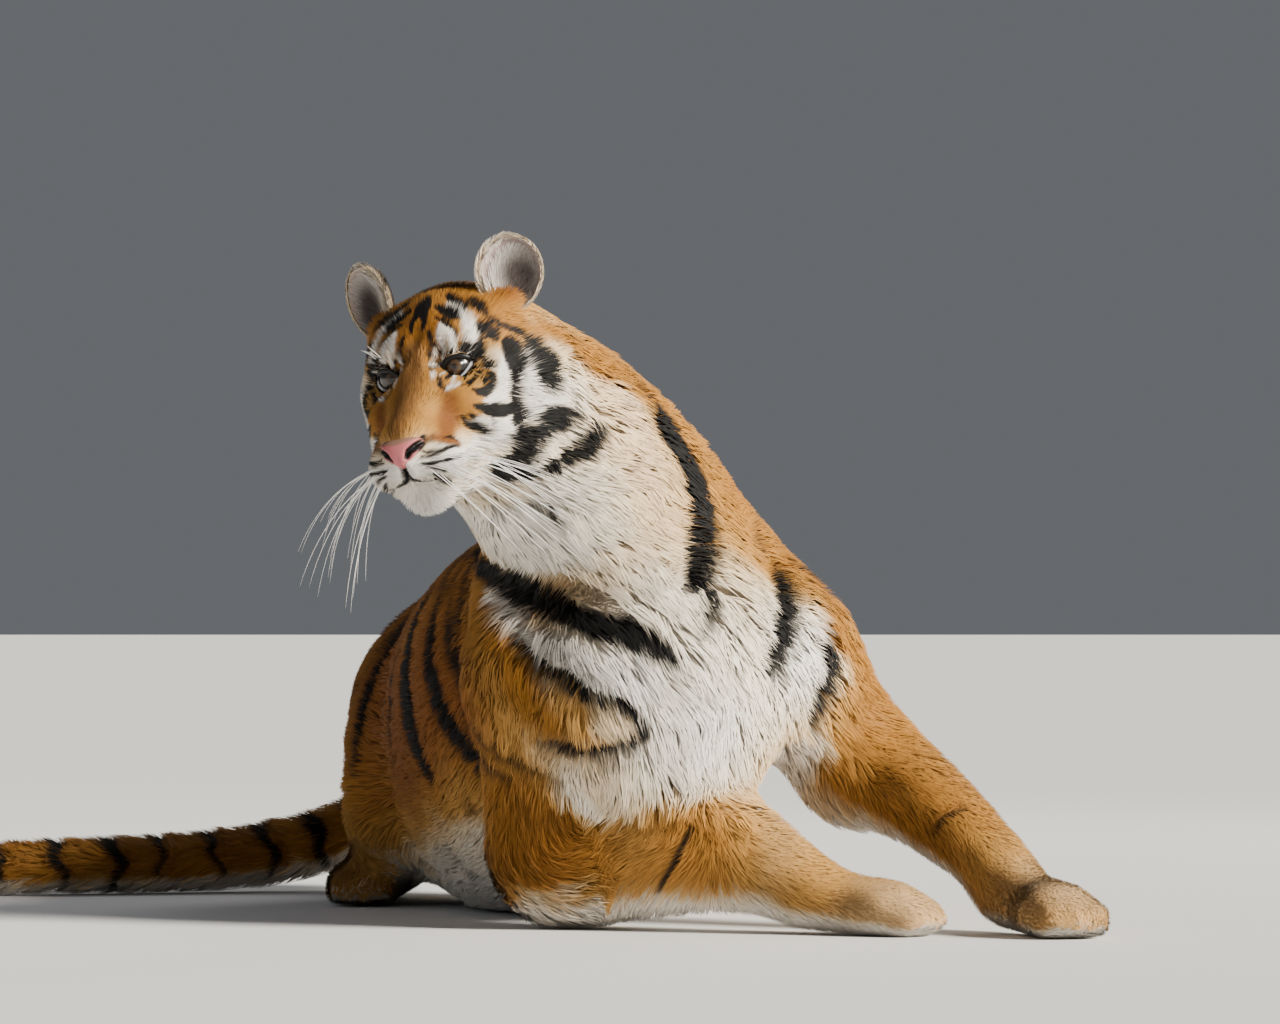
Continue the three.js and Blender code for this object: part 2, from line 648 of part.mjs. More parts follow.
function addBody(neckCut) {
  const rough = cutTo(meshed(MESHES.body), before(neckCut), before(FLOOR));
  const cells = limbs.map((limb) => limbCell(limb, HALF_CUT)).reduce((a, b) => a.add(b));
  const bare = rough.subtract(cells);
  add('neck', cutTo(bare, beyond(CHEST_CUT)), CREAM);
  add('chest', cutTo(bare, before(CHEST_CUT), before(BELLY_CUT)), CREAM);
  add('belly', cutTo(bare, beyond(BELLY_CUT), before(RUMP_CUT)), GOLD);
  add('rump', cutTo(bare, beyond(RUMP_CUT), before(TAIL_CUTS[0])), GOLD);
  let rest = cutTo(bare, beyond(TAIL_CUTS[0]));
  ['tail_base', 'tail_middle', 'tail_end'].forEach((name, n) => {
    add(name, cutTo(rest, before(TAIL_CUTS[n + 1])), GOLD);
    rest = cutTo(rest, beyond(TAIL_CUTS[n + 1]));
  });
  add('tail_tip', rest, GOLD);
  limbs.forEach((limb, n) => {
    const taken = limbs.slice(0, n).map((other) => limbCell(other, HALF_CUT));
    const own = [limbCell(limb, -HALF_CUT), ...taken].reduce((part, other) => part.subtract(other));
    const flesh = rough.intersect(own);
    const [upper, lower, paw] = limb.names;
    const room = pawRoom(limb.paw);
    const foot = cutTo(meshed({ ...MESHES.paw, room }), before(FLOOR), beyond(limb.joint));
    add(upper, cutTo(flesh, before(limb.joint)), GOLD);
    add(lower, cutTo(flesh, beyond(limb.joint), before(limb.wrist)), GOLD);
    add(paw, cutTo(foot.intersect(own), beyond(limb.wrist)), GOLD);
  });
}

function pawRoom([[x0, y0], [x1, y1]]) {
  const { wide, ahead, behind: back, below, above } = PAW_ROOM;
  return [
    [Math.min(x0, x1) - wide, Math.min(y0, y1) - ahead, -below],
    [Math.max(x0, x1) + wide, Math.max(y0, y1) + back, above],
  ];
}

function standAtOrigin() {
  const bounds = new THREE.Box3().setFromObject(group, true);
  const middle = bounds.getCenter(v(0, 0, 0));
  group.children.forEach((part) => part.geometry.translate(-middle.x, -middle.y, -bounds.min.z));
}

const neckCut = { at: inHead(NECK_CUT.head), out: headWay(NECK_CUT.out) };
addHead(neckCut);
addBody(neckCut);
standAtOrigin();

export default group;
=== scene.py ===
import math
import bpy
import numpy as np
from mathutils import Matrix, Vector
from mathutils.bvhtree import BVHTree
from mathutils.kdtree import KDTree


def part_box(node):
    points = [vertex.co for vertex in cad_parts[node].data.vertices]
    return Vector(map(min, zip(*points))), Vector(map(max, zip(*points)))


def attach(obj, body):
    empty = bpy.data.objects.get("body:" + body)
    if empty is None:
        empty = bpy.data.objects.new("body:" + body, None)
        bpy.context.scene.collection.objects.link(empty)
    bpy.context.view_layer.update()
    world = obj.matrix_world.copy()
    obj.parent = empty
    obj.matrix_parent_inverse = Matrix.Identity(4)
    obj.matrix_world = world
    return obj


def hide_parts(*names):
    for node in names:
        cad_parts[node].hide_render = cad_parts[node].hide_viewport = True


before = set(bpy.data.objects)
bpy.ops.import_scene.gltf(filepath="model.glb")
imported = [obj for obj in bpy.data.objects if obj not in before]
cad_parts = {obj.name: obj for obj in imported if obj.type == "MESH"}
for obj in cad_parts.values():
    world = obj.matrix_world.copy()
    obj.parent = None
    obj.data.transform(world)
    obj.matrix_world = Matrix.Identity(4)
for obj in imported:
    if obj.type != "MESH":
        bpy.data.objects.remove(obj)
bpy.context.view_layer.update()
chance = np.random.default_rng(7)
print("stage: frame loaded")

# Lengths below are millimetres. The tiger's own frame has +X to its left, +Y to its tail and +Z up.
# The head's frame has its origin between the eyes, +X to the head's left and +Y to its back.
headPlace = {"at": (-256, -320, 672), "pitch": 14.5, "roll": -9.7, "yaw": -22.5,
             "middle": (0, 40, -30)}
eyeSizes = {"at": (42, 12, -3), "ball": 19.0, "iris": 8.8, "pupil": 2.6, "look": (0.18, -0.97, 0.11),
            "opening": (0.24, -0.97, 0.0), "slant": 17, "lid": 1.7, "node": (44, 16, -2)}
# The edges of the lids, measured over the eyeball from the inner corner to the outer one.
lidEdges = {"along": (-19, -15, -10, -3, 6, 13, 20), "upper": (-4, 4, 9, 11.5, 10.2, 6, -1),
            "lower": (-5, -8.5, -10, -10, -8, -5.5, -2.5), "middle": 0.5, "half": 19.5}


def unit(a):
    return a / np.maximum(np.linalg.norm(a, axis=-1, keepdims=True), 1e-9)


def ease(low, high, x):
    t = np.clip((x - low) / (high - low), 0, 1)
    return t * t * (3 - 2 * t)


def spin(axis, angle):
    return np.array(Matrix.Rotation(math.radians(angle), 3, axis))


headTurn = spin("Z", headPlace["yaw"]) @ spin("X", headPlace["pitch"]) @ spin("Y", headPlace["roll"])
eyeMiddle = sum(np.array(corner) for eye in ("left_eye", "right_eye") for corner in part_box(eye)) / 4 * 1000
origin = np.array(headPlace["at"]) + headTurn @ np.array([0, *eyeSizes["node"][1:]]) - eyeMiddle


# The frame of the nodes is in metres with its own origin; these go from it and back.
def fromRow(p):
    return np.asarray(p, float) * 1000 + origin


def toRow(p):
    return (np.asarray(p, float) - origin) / 1000


def intoHead(p):
    return (np.asarray(p, float) - headPlace["at"]) @ headTurn


# A place of the head and its twin on the other side are one place of the folded head.
def folded(head):
    return np.stack([np.abs(head[:, 0]), head[:, 1], head[:, 2]], 1)


def sideOf(head):
    return np.where(head[:, :1] < 0, -1.0, 1.0) * [1, 0, 0] + [0, 1, 1]


def fromHead(head):
    return np.linalg.norm(head - np.array(headPlace["middle"]), axis=1)


def outOfHead(p):
    return np.asarray(p, float) @ headTurn.T + headPlace["at"]


stagePlan = {"eye": (0, -8000, 380), "lens": 183.8, "pitch": 0.947, "floor": 300.0,
             "floorTone": (0.82, 0.82, 0.82), "key": 10.0, "keyFrom": (0.88, -0.58, 0.50), "softness": 18,
             "keyColour": (1.0, 0.94, 0.83), "sky": 0.17, "skyColour": (0.80, 0.84, 0.9),
             "aim": (0.1, -0.2, 0.35)}
# Softer lamps: place in metres, width, power and colour.
lamps = {"fill": ((-3.6, -3.4, 1.8), 2.6, 7, (0.80, 0.90, 1.0)),
         "rim": ((2.2, 3.4, 3.0), 1.6, 45, (1.0, 0.96, 0.9))}


def setStage():
    camera = bpy.data.cameras.new("camera")
    camera.lens = stagePlan["lens"]
    camera.sensor_width = 36
    camera.clip_end = 200
    eye = bpy.data.objects.new("camera", camera)
    bpy.context.scene.collection.objects.link(eye)
    eye.location = Vector(toRow(stagePlan["eye"]))
    eye.rotation_euler = (math.radians(90 + stagePlan["pitch"]), 0, 0)
    bpy.context.scene.camera = eye
    bpy.ops.object.select_all(action="DESELECT")
    bpy.ops.mesh.primitive_plane_add(size=stagePlan["floor"], location=(0, 8, 0))
    floor = bpy.context.object
    floor.name = "floor"
    floor.data.materials.append(plainFinish("paleFloor", stagePlan["floorTone"], 0.9))
    sun = bpy.data.lights.new("key", "SUN")
    sun.energy = stagePlan["key"]
    sun.angle = math.radians(stagePlan["softness"])
    sun.color = stagePlan["keyColour"]
    lamp = bpy.data.objects.new("key", sun)
    bpy.context.scene.collection.objects.link(lamp)
    lamp.rotation_euler = Vector(stagePlan["keyFrom"]).to_track_quat("Z", "Y").to_euler()
    for name, (place, size, power, colour) in lamps.items():
        data = bpy.data.lights.new(name, "AREA")
        data.size = size
        data.energy = power
        data.color = colour
        lamp = bpy.data.objects.new(name, data)
        bpy.context.scene.collection.objects.link(lamp)
        lamp.location = place
        aim = Vector(stagePlan["aim"]) - Vector(place)
        lamp.rotation_euler = aim.to_track_quat("-Z", "Y").to_euler()
    world = bpy.data.worlds.new("studio")
    bpy.context.scene.world = world
    world.use_nodes = True
    sky = world.node_tree.nodes["Background"]
    sky.inputs["Color"].default_value = (*stagePlan["skyColour"], 1)
    sky.inputs["Strength"].default_value = stagePlan["sky"]


def plainFinish(name, colour, roughness):
    material = bpy.data.materials.new(name)
    material.use_nodes = True
    shader = material.node_tree.nodes["Principled BSDF"]
    shader.inputs["Base Color"].default_value = (*colour, 1)
    shader.inputs["Roughness"].default_value = roughness
    return material


# About how far a place lies outside an oval, below zero inside it.
def oval(p, middle, radii, turn=(0, 0, 0)):
    back = spin("X", turn[0]) @ spin("Y", turn[1]) @ spin("Z", turn[2])
    q = (p - middle) @ back
    radii = np.array(radii, float)
    near = np.linalg.norm(q / radii, axis=1)
    slope = np.linalg.norm(q / radii ** 2, axis=1)
    return near * (near - 1) / np.maximum(slope, 1e-9)


# The same for a tapering rod through stations: place, half width, half height.
def ridge(p, stations):
    best = np.full(len(p), 1e9)
    field = np.full(len(p), 1e9)
    for one, two in zip(stations, stations[1:]):
        one, two = np.array(one, float), np.array(two, float)
        d = two[:3] - one[:3]
        t = np.clip((p - one[:3]) @ d / (d @ d), 0, 1)
        off = p - one[:3] - t[:, None] * d
        gap = (off ** 2).sum(1)
        wide = one[3] + (two[3] - one[3]) * t
        high = one[4] + (two[4] - one[4]) * t
        thin = np.minimum(wide, high)
        up = unit(np.cross([1, 0, 0], -d))
        along = unit(d)
        part = np.stack([off[:, 0] / wide, off @ up / high, off @ along / thin])
        steep = np.stack([part[0] / wide, part[1] / high, part[2] / thin])
        near = np.linalg.norm(part, axis=0)
        value = near * (near - 1) / np.maximum(np.linalg.norm(steep, axis=0), 1e-9)
        field = np.where(gap < best, value, field)
        best = np.minimum(gap, best)
    return field


# Two forms joined with a fillet.
def blend(a, b, k):
    h = np.maximum(k - np.abs(a - b), 0) / k
    return np.minimum(a, b) - h * h * k / 4


def blended(k, *fields):
    result = fields[0]
    for field in fields[1:]:
        result = blend(result, field, k)
    return result


# The form of the head in its own frame, from the same ovals as the nodes.
def headField(p):
    q = folded(p)
    skull = oval(q, (0, 108, 8), (88, 102, 78))
    bridge = ridge(q, [(0, 70, 22, 62, 46), (0, 22, -4, 50, 36), (0, -20, -28, 39, 31),
                       (0, -60, -50, 32, 27), (0, -96, -70, 27, 22)])
    brow = oval(q, (38, 14, 20), (28, 26, 16), (0, 14, 0))
    temple = oval(q, (56, 76, 22), (34, 56, 40))
    earMound = oval(q, (80, 106, 40), (30, 30, 28))
    cheekbone = oval(q, (68, 52, -26), (38, 56, 42))
    underEye = oval(q, (40, 8, -50), (44, 54, 40))
    muzzle = oval(q, (0, -50, -94), (54, 58, 40))
    front = oval(q, (0, -82, -92), (36, 31, 30))
    whiskerPad = oval(q, (27, -66, -96), (34, 43, 34), (0, 0, 10))
    nose = oval(q, (0, -98, -68), (28, 19, 20))
    chin = oval(q, (0, -58, -140), (40, 31, 25))
    jaw = oval(q, (0, 6, -118), (57, 80, 40))
    cheek = oval(q, (50, 22, -92), (42, 58, 42))
    ruff = oval(q, (84, 102, -64), (50, 60, 76), (0, 10, 0))
    lowRuff = oval(q, (60, 76, -118), (54, 62, 48))
    back = blended(30, skull, temple, earMound, cheekbone, underEye, cheek, ruff, lowRuff, brow, bridge)
    lips = blended(18, blended(18, muzzle, front, nose), whiskerPad, blended(24, jaw, chin))
    socket = oval(q, (eyeSizes["at"][0] + 7, -15, -2), (22, 19, 12), (0, 10, 20))
    return -blend(-blended(20, back, lips), socket, 9)


def slopeOf(field, p):
    step = 0.5
    return np.stack([(field(p + step * axis) - field(p - step * axis)) / (2 * step) for axis in np.eye(3)], 1)


# Each entry: frame, place, reach, depth of the coat, length and width of a tuft, then tone,
# which is 0 at white, 0.35 at cream and 1 at orange.
coatPlaces = {
    "noseBridge": ("head", (0, -70, -48), 22, 2.0, 7, 1.1, 0.85),
    "bridgeTop": ("head", (0, -20, -8), 24, 2.5, 8, 1.1, 0.9),
    "padTop": ("head", (34, -66, -60), 16, 2.0, 8, 1.1, 0.85),
    "pad": ("head", (42, -78, -92), 20, 2.5, 8, 1.1, 0.02),
    "lipFront": ("head", (0, -108, -98), 14, 1.5, 6, 1.0, 0.0),
    "chin": ("head", (0, -80, -140), 24, 6, 15, 1.6, 0.0),
    "forehead": ("head", (0, 20, 45), 30, 3.5, 8.5, 1.2, 0.95),
    "crown": ("head", (0, 90, 84), 40, 7, 15, 1.6, 0.85),
    "underEye": ("head", (58, -24, -44), 20, 2.5, 7.5, 1.1, 0.9),
    "eyeSide": ("head", (78, 2, -18), 12, 2.5, 7.5, 1.1, 0.75),
    "cheek": ("head", (90, 0, -70), 24, 6, 13, 1.5, 0.02),
    "outerEye": ("head", (96, 24, -12), 16, 5, 11, 1.4, 0.25),
    "earBase": ("head", (94, 98, 64), 18, 8, 20, 1.6, 1.0),
    "temple": ("head", (96, 60, 30), 24, 8, 14, 1.6, 0.85),
    "ruffTop": ("head", (128, 96, -10), 30, 15, 25, 1.9, 0.42),
    "ruff": ("head", (126, 80, -90), 40, 18, 27, 2.0, 0.06),
    "ruffLow": ("head", (80, 50, -160), 40, 18, 30, 2.1, 0.05),
    "throat": ("head", (0, 10, -170), 50, 16, 40, 2.21, 0.05),
    "nape": ("tiger", (-80, -20, 700), 90, 16, 38, 2.38, 0.95),
    "napeLow": ("tiger", (60, -60, 620), 80, 18, 44, 2.28, 0.85),
    "neckLeft": ("tiger", (40, -170, 560), 70, 24, 54, 2.58, 0.45),
    "neckFront": ("tiger", (-60, -250, 520), 90, 28, 62, 2.74, 0.26),
    "neckRight": ("tiger", (-190, -60, 520), 80, 22, 50, 2.58, 0.5),
    "chest": ("tiger", (30, -230, 370), 80, 28, 64, 2.74, 0.08),
    "chestLow": ("tiger", (60, -210, 220), 80, 26, 60, 2.74, 0.02),
    "rightShoulder": ("tiger", (-180, -20, 340), 80, 16, 36, 2.43, 0.85),
    "rightArmTop": ("tiger", (-90, -180, 320), 60, 18, 42, 2.43, 0.3),
    "rightArmLow": ("tiger", (-90, -160, 240), 50, 14, 34, 2.28, 0.6),
    "rightElbow": ("tiger", (-130, -60, 110), 90, 13, 30, 2.28, 0.95),
    "rightForearm": ("tiger", (60, -170, 110), 70, 10, 24, 2.38, 0.85),
    "rightWrist": ("tiger", (190, -170, 70), 60, 7, 17, 2.2, 0.6),
    "rightPaw": ("tiger", (300, -200, 40), 70, 5, 12, 1.8, 0.55),
    "leftShoulder": ("tiger", (200, 40, 440), 80, 15, 34, 2.43, 0.9),
    "leftArmFront": ("tiger", (190, -110, 340), 60, 20, 46, 2.43, 0.05),
    "leftArmBack": ("tiger", (290, 30, 270), 70, 12, 28, 2.38, 0.9),
    "leftForearm": ("tiger", (390, -80, 150), 60, 10, 24, 2.38, 0.85),
    "leftPaw": ("tiger", (480, -220, 40), 80, 5, 12, 1.8, 0.55),
    "withers": ("tiger", (30, 60, 540), 90, 14, 34, 2.43, 1.0),
    "back": ("tiger", (-120, 450, 500), 200, 13, 32, 2.58, 1.0),
    "rightFlank": ("tiger", (-320, 450, 260), 160, 14, 34, 2.58, 0.95),
    "leftFlank": ("tiger", (60, 450, 260), 160, 14, 34, 2.58, 0.95),
    "belly": ("tiger", (-120, 400, 0), 130, 18, 42, 2.74, 0.1),
    "rump": ("tiger", (-180, 900, 400), 160, 13, 32, 2.58, 1.0),
    "rightThigh": ("tiger", (-400, 720, 220), 110, 12, 30, 2.43, 0.95),
    "leftThigh": ("tiger", (40, 720, 220), 110, 12, 30, 2.43, 0.95),
    "rightHindPaw": ("tiger", (-355, 700, 40), 110, 6, 15, 2.2, 0.6),
    "leftHindPaw": ("tiger", (-15, 700, 40), 110, 6, 15, 2.2, 0.6),
    "tailRoot": ("tiger", (-230, 1090, 170), 110, 12, 30, 2.43, 1.0),
    "tail": ("tiger", (-560, 1060, 60), 260, 12, 30, 2.43, 0.9),
    "tailTip": ("tiger", (-950, 920, 40), 120, 12, 30, 2.28, 0.9),
}


# Depth, length, width and tone of the coat at each place.
def coatAt(p):
    total = np.full(len(p), 1e-12)
    sums = np.zeros((len(p), 4))
    head = folded(intoHead(p))
    for where, place, reach, *values in coatPlaces.values():
        gap = np.linalg.norm((head if where == "head" else p) - place, axis=1) / reach
        weight = 1 / (0.02 + gap ** 4)
        total += weight
        sums += weight[:, None] * np.array(values, float)
    return (sums / total[:, None]).T


# The lie of the coat follows these lines: frame, radius, then the places that the line goes through.
layLines = {
    "bridge": ("head", 30, (0, -112, -60), (0, -60, -22), (0, -10, 14), (0, 40, 70), (0, 110, 96),
               (0, 190, 70)),
    "brow": ("head", 30, (24, -20, 10), (40, 6, 36), (62, 50, 66), (84, 110, 70), (96, 170, 40)),
    "padRow": ("head", 26, (12, -114, -84), (44, -84, -84), (64, -40, -80), (96, 10, -80), (126, 80, -84)),
    "underEye": ("head", 24, (26, -70, -46), (54, -30, -40), (84, 4, -32), (112, 50, -26), (136, 110, -24)),
    "lip": ("head", 22, (6, -104, -112), (34, -72, -122), (60, -20, -124), (96, 40, -134),
            (124, 100, -140)),
    "chin": ("head", 26, (0, -92, -128), (0, -76, -156), (0, -20, -172), (10, 60, -190)),
    "jaw": ("head", 30, (34, -40, -150), (70, 10, -160), (100, 60, -176), (110, 110, -190)),
    "temple": ("head", 26, (84, 12, 0), (104, 50, 14), (124, 96, 14), (136, 150, 0)),
    "nape": ("tiger", 90, (-190, -180, 760), (-110, -60, 700), (-20, 60, 590), (20, 200, 520)),
    "neckLeft": ("tiger", 90, (-100, -250, 640), (0, -180, 570), (80, -130, 480), (130, -100, 380)),
    "neckFront": ("tiger", 90, (-200, -280, 560), (-120, -240, 500), (-20, -220, 400), (40, -220, 280),
                  (70, -200, 160)),
    "neckRight": ("tiger", 90, (-260, -160, 600), (-220, -60, 520), (-190, 30, 430), (-170, 80, 330)),
    "back": ("tiger", 150, (0, 60, 560), (-60, 300, 520), (-140, 600, 480), (-180, 900, 400),
             (-170, 1030, 280)),
    "rightFlank": ("tiger", 150, (-150, 100, 380), (-240, 250, 260), (-320, 450, 220), (-340, 600, 220)),
    "leftFlank": ("tiger", 150, (130, 150, 360), (90, 300, 240), (60, 450, 220), (0, 600, 220)),
    "belly": ("tiger", 120, (40, -100, 100), (-60, 150, 20), (-130, 450, 10), (-180, 800, 20)),
    "rightArm": ("tiger", 90, (-85, 130, 470), (-116, -40, 310), (-108, -20, 200), (-100, -5, 100)),
    "rightForearm": ("tiger", 80, (-140, 20, 60), (-60, -60, 90), (30, -75, 102), (122, -118, 92),
                     (198, -154, 62), (320, -205, 30)),
    "leftArm": ("tiger", 90, (70, 150, 455), (165, 0, 335), (268, 58, 205)),
    "leftForearm": ("tiger", 70, (268, 58, 205), (328, -12, 172), (392, -84, 120), (446, -142, 62),
                    (505, -270, 30)),
    "rightThigh": ("tiger", 110, (-240, 940, 330), (-290, 800, 260), (-312, 605, 140)),
    "leftThigh": ("tiger", 110, (-130, 940, 330), (-80, 800, 260), (-48, 605, 140)),
    "rightFoot": ("tiger", 60, (-334, 905, 46), (-335, 800, 42), (-362, 640, 36), (-370, 580, 30)),
    "leftFoot": ("tiger", 60, (-40, 905, 46), (-36, 800, 42), (-8, 640, 36), (0, 580, 30)),
    "tail": ("tiger", 70, (-166, 1000, 215), (-225, 1075, 168), (-330, 1110, 118), (-470, 1085, 66),
             (-640, 1020, 45), (-800, 965, 43), (-1010, 902, 32), (-1060, 885, 30)),
}


def layAt(p, normal):
    way = np.zeros_like(p)
    head = intoHead(p)
    flip = sideOf(head)
    for where, radius, *places in layLines.values():
        q = head * flip if where == "head" else p
        best = np.full(len(p), 1e9)
        along = np.zeros_like(p)
        for one, two in zip(places, places[1:]):
            one, d = np.array(one, float), np.subtract(two, one)
            t = np.clip((q - one) @ d / (d @ d), 0, 1)
            gap = np.linalg.norm(q - one - t[:, None] * d, axis=1)
            along[gap < best] = unit(d)
            best = np.minimum(best, gap)
        if where == "head":
            along = (along * flip) @ headTurn.T
        way += along / (0.01 + (best / radius) ** 5)[:, None]
    way = unit(way)
    way -= (way * normal).sum(1)[:, None] * normal
    return unit(way)


coatColours = {
    "white": (0.86, 0.81, 0.74), "cream": (0.78, 0.60, 0.38), "gold": (0.54, 0.28, 0.07),
    "orange": (0.37, 0.155, 0.020), "deep": (0.24, 0.080, 0.011), "black": (0.0025, 0.002, 0.002),
    "sand": (0.72, 0.52, 0.33), "rust": (0.21, 0.072, 0.012),
    "tan": (0.27, 0.125, 0.035),
}
# Marks and patches are drawn on elevations of the tiger: across and up in millimetres, then a half width.
# Patches of the face, drawn from the front: colour, softness, then places. Both sides get them.
facePatches = {
    "bridgeGold": ("tan", 7, (-283, 602, 10), (-278, 630, 14), (-272, 660, 14), (-264, 700, 9)),
    "crownGold": ("orange", 9, (-228, 774, 8), (-182, 752, 13), (-142, 734, 13), (-112, 722, 9)),
    "rustUnder": ("rust", 8, (-228, 650, 5), (-222, 638, 10), (-222, 615, 15), (-224, 597, 12)),
    "padBrown": ("rust", 4, (-240, 594, 6), (-222, 590, 8), (-208, 588, 5)),
    "eyeSideGold": ("gold", 3, (-188, 676, 3), (-186, 667, 7), (-187, 658, 6)),
    "browWhite": ("white", 3, (-234, 728, 5), (-237, 708, 5), (-240, 690, 5), (-242, 672, 4),
                  (-243, 665, 2)),
    "browWhiteMiddle": ("white", 3, (-230, 726, 4), (-223, 720, 7), (-221, 708, 7), (-227, 697, 5)),
    "browWhiteOut": ("white", 3, (-226, 757, 3), (-210, 745, 6), (-200, 733, 9), (-196, 718, 9),
                     (-192, 709, 4)),
    "lidWhite": ("white", 2, (-222, 697, 3), (-210, 696, 4.5), (-198, 696, 4.5), (-189, 695, 3)),
    "underEyeWhite": ("white", 1.5, (-224, 655, 3), (-217, 657, 4), (-208, 661, 2.5)),
    "cheekWhite": ("white", 4, (-157, 690, 5), (-156, 672, 10), (-154, 655, 12), (-160, 643, 11),
                   (-173, 638, 7)),
    "farCheekWhite": ("white", 5, (-126, 700, 5), (-124, 680, 9), (-119, 660, 13), (-113, 642, 15),
                      (-116, 625, 10)),
    "lowCheekWhite": ("white", 5, (-190, 612, 5), (-176, 606, 9), (-156, 604, 11), (-136, 602, 11),
                      (-160, 588, 12),
                      (-185, 585, 10)),
    "padWhite": ("white", 4, (-205, 575, 8), (-225, 560, 12), (-252, 556, 12), (-276, 552, 8)),
}
# Patches of the body: view, colour, softness, then places.
bodyPatches = {
    "armOrange": ("front", "orange", 16, (-180, 365, 12), (-165, 325, 22), (-140, 285, 30),
                  (-112, 255, 28)),
    "armGold": ("front", "gold", 14, (-105, 290, 12), (-70, 255, 22), (-45, 240, 16)),
    "armPale": ("front", "cream", 10, (-45, 250, 13), (-20, 244, 15), (-2, 236, 10)),
    "chestPale": ("front", "white", 12, (-190, 412, 8), (-160, 382, 11), (-118, 350, 19), (-60, 320, 24),
                  (0, 296, 24)),
    # The deep orange over the right flank is partly its own deeper coat and partly painted shade of the flank
    # turned from the light.
    "flankDeepShade": ("right", "deep", 60, (600, 300, 70), (345, 240, 90), (190, 290, 90), (-60, 270, 40)),
    "neckWarm": ("front", "sand", 24, (-40, 668, 20), (-15, 640, 28), (0, 595, 26), (15, 548, 20),
                 (25, 500, 12)),
    "napeEdge": ("front", "orange", 14, (-110, 730, 18), (-45, 695, 30), (-5, 675, 30), (32, 648, 28),
                 (62, 612, 16)),
    "backEdge": ("front", "orange", 14, (130, 530, 22), (158, 500, 24), (195, 465, 26), (228, 420, 22),
                 (252, 362, 24), (282, 308, 28)),
}
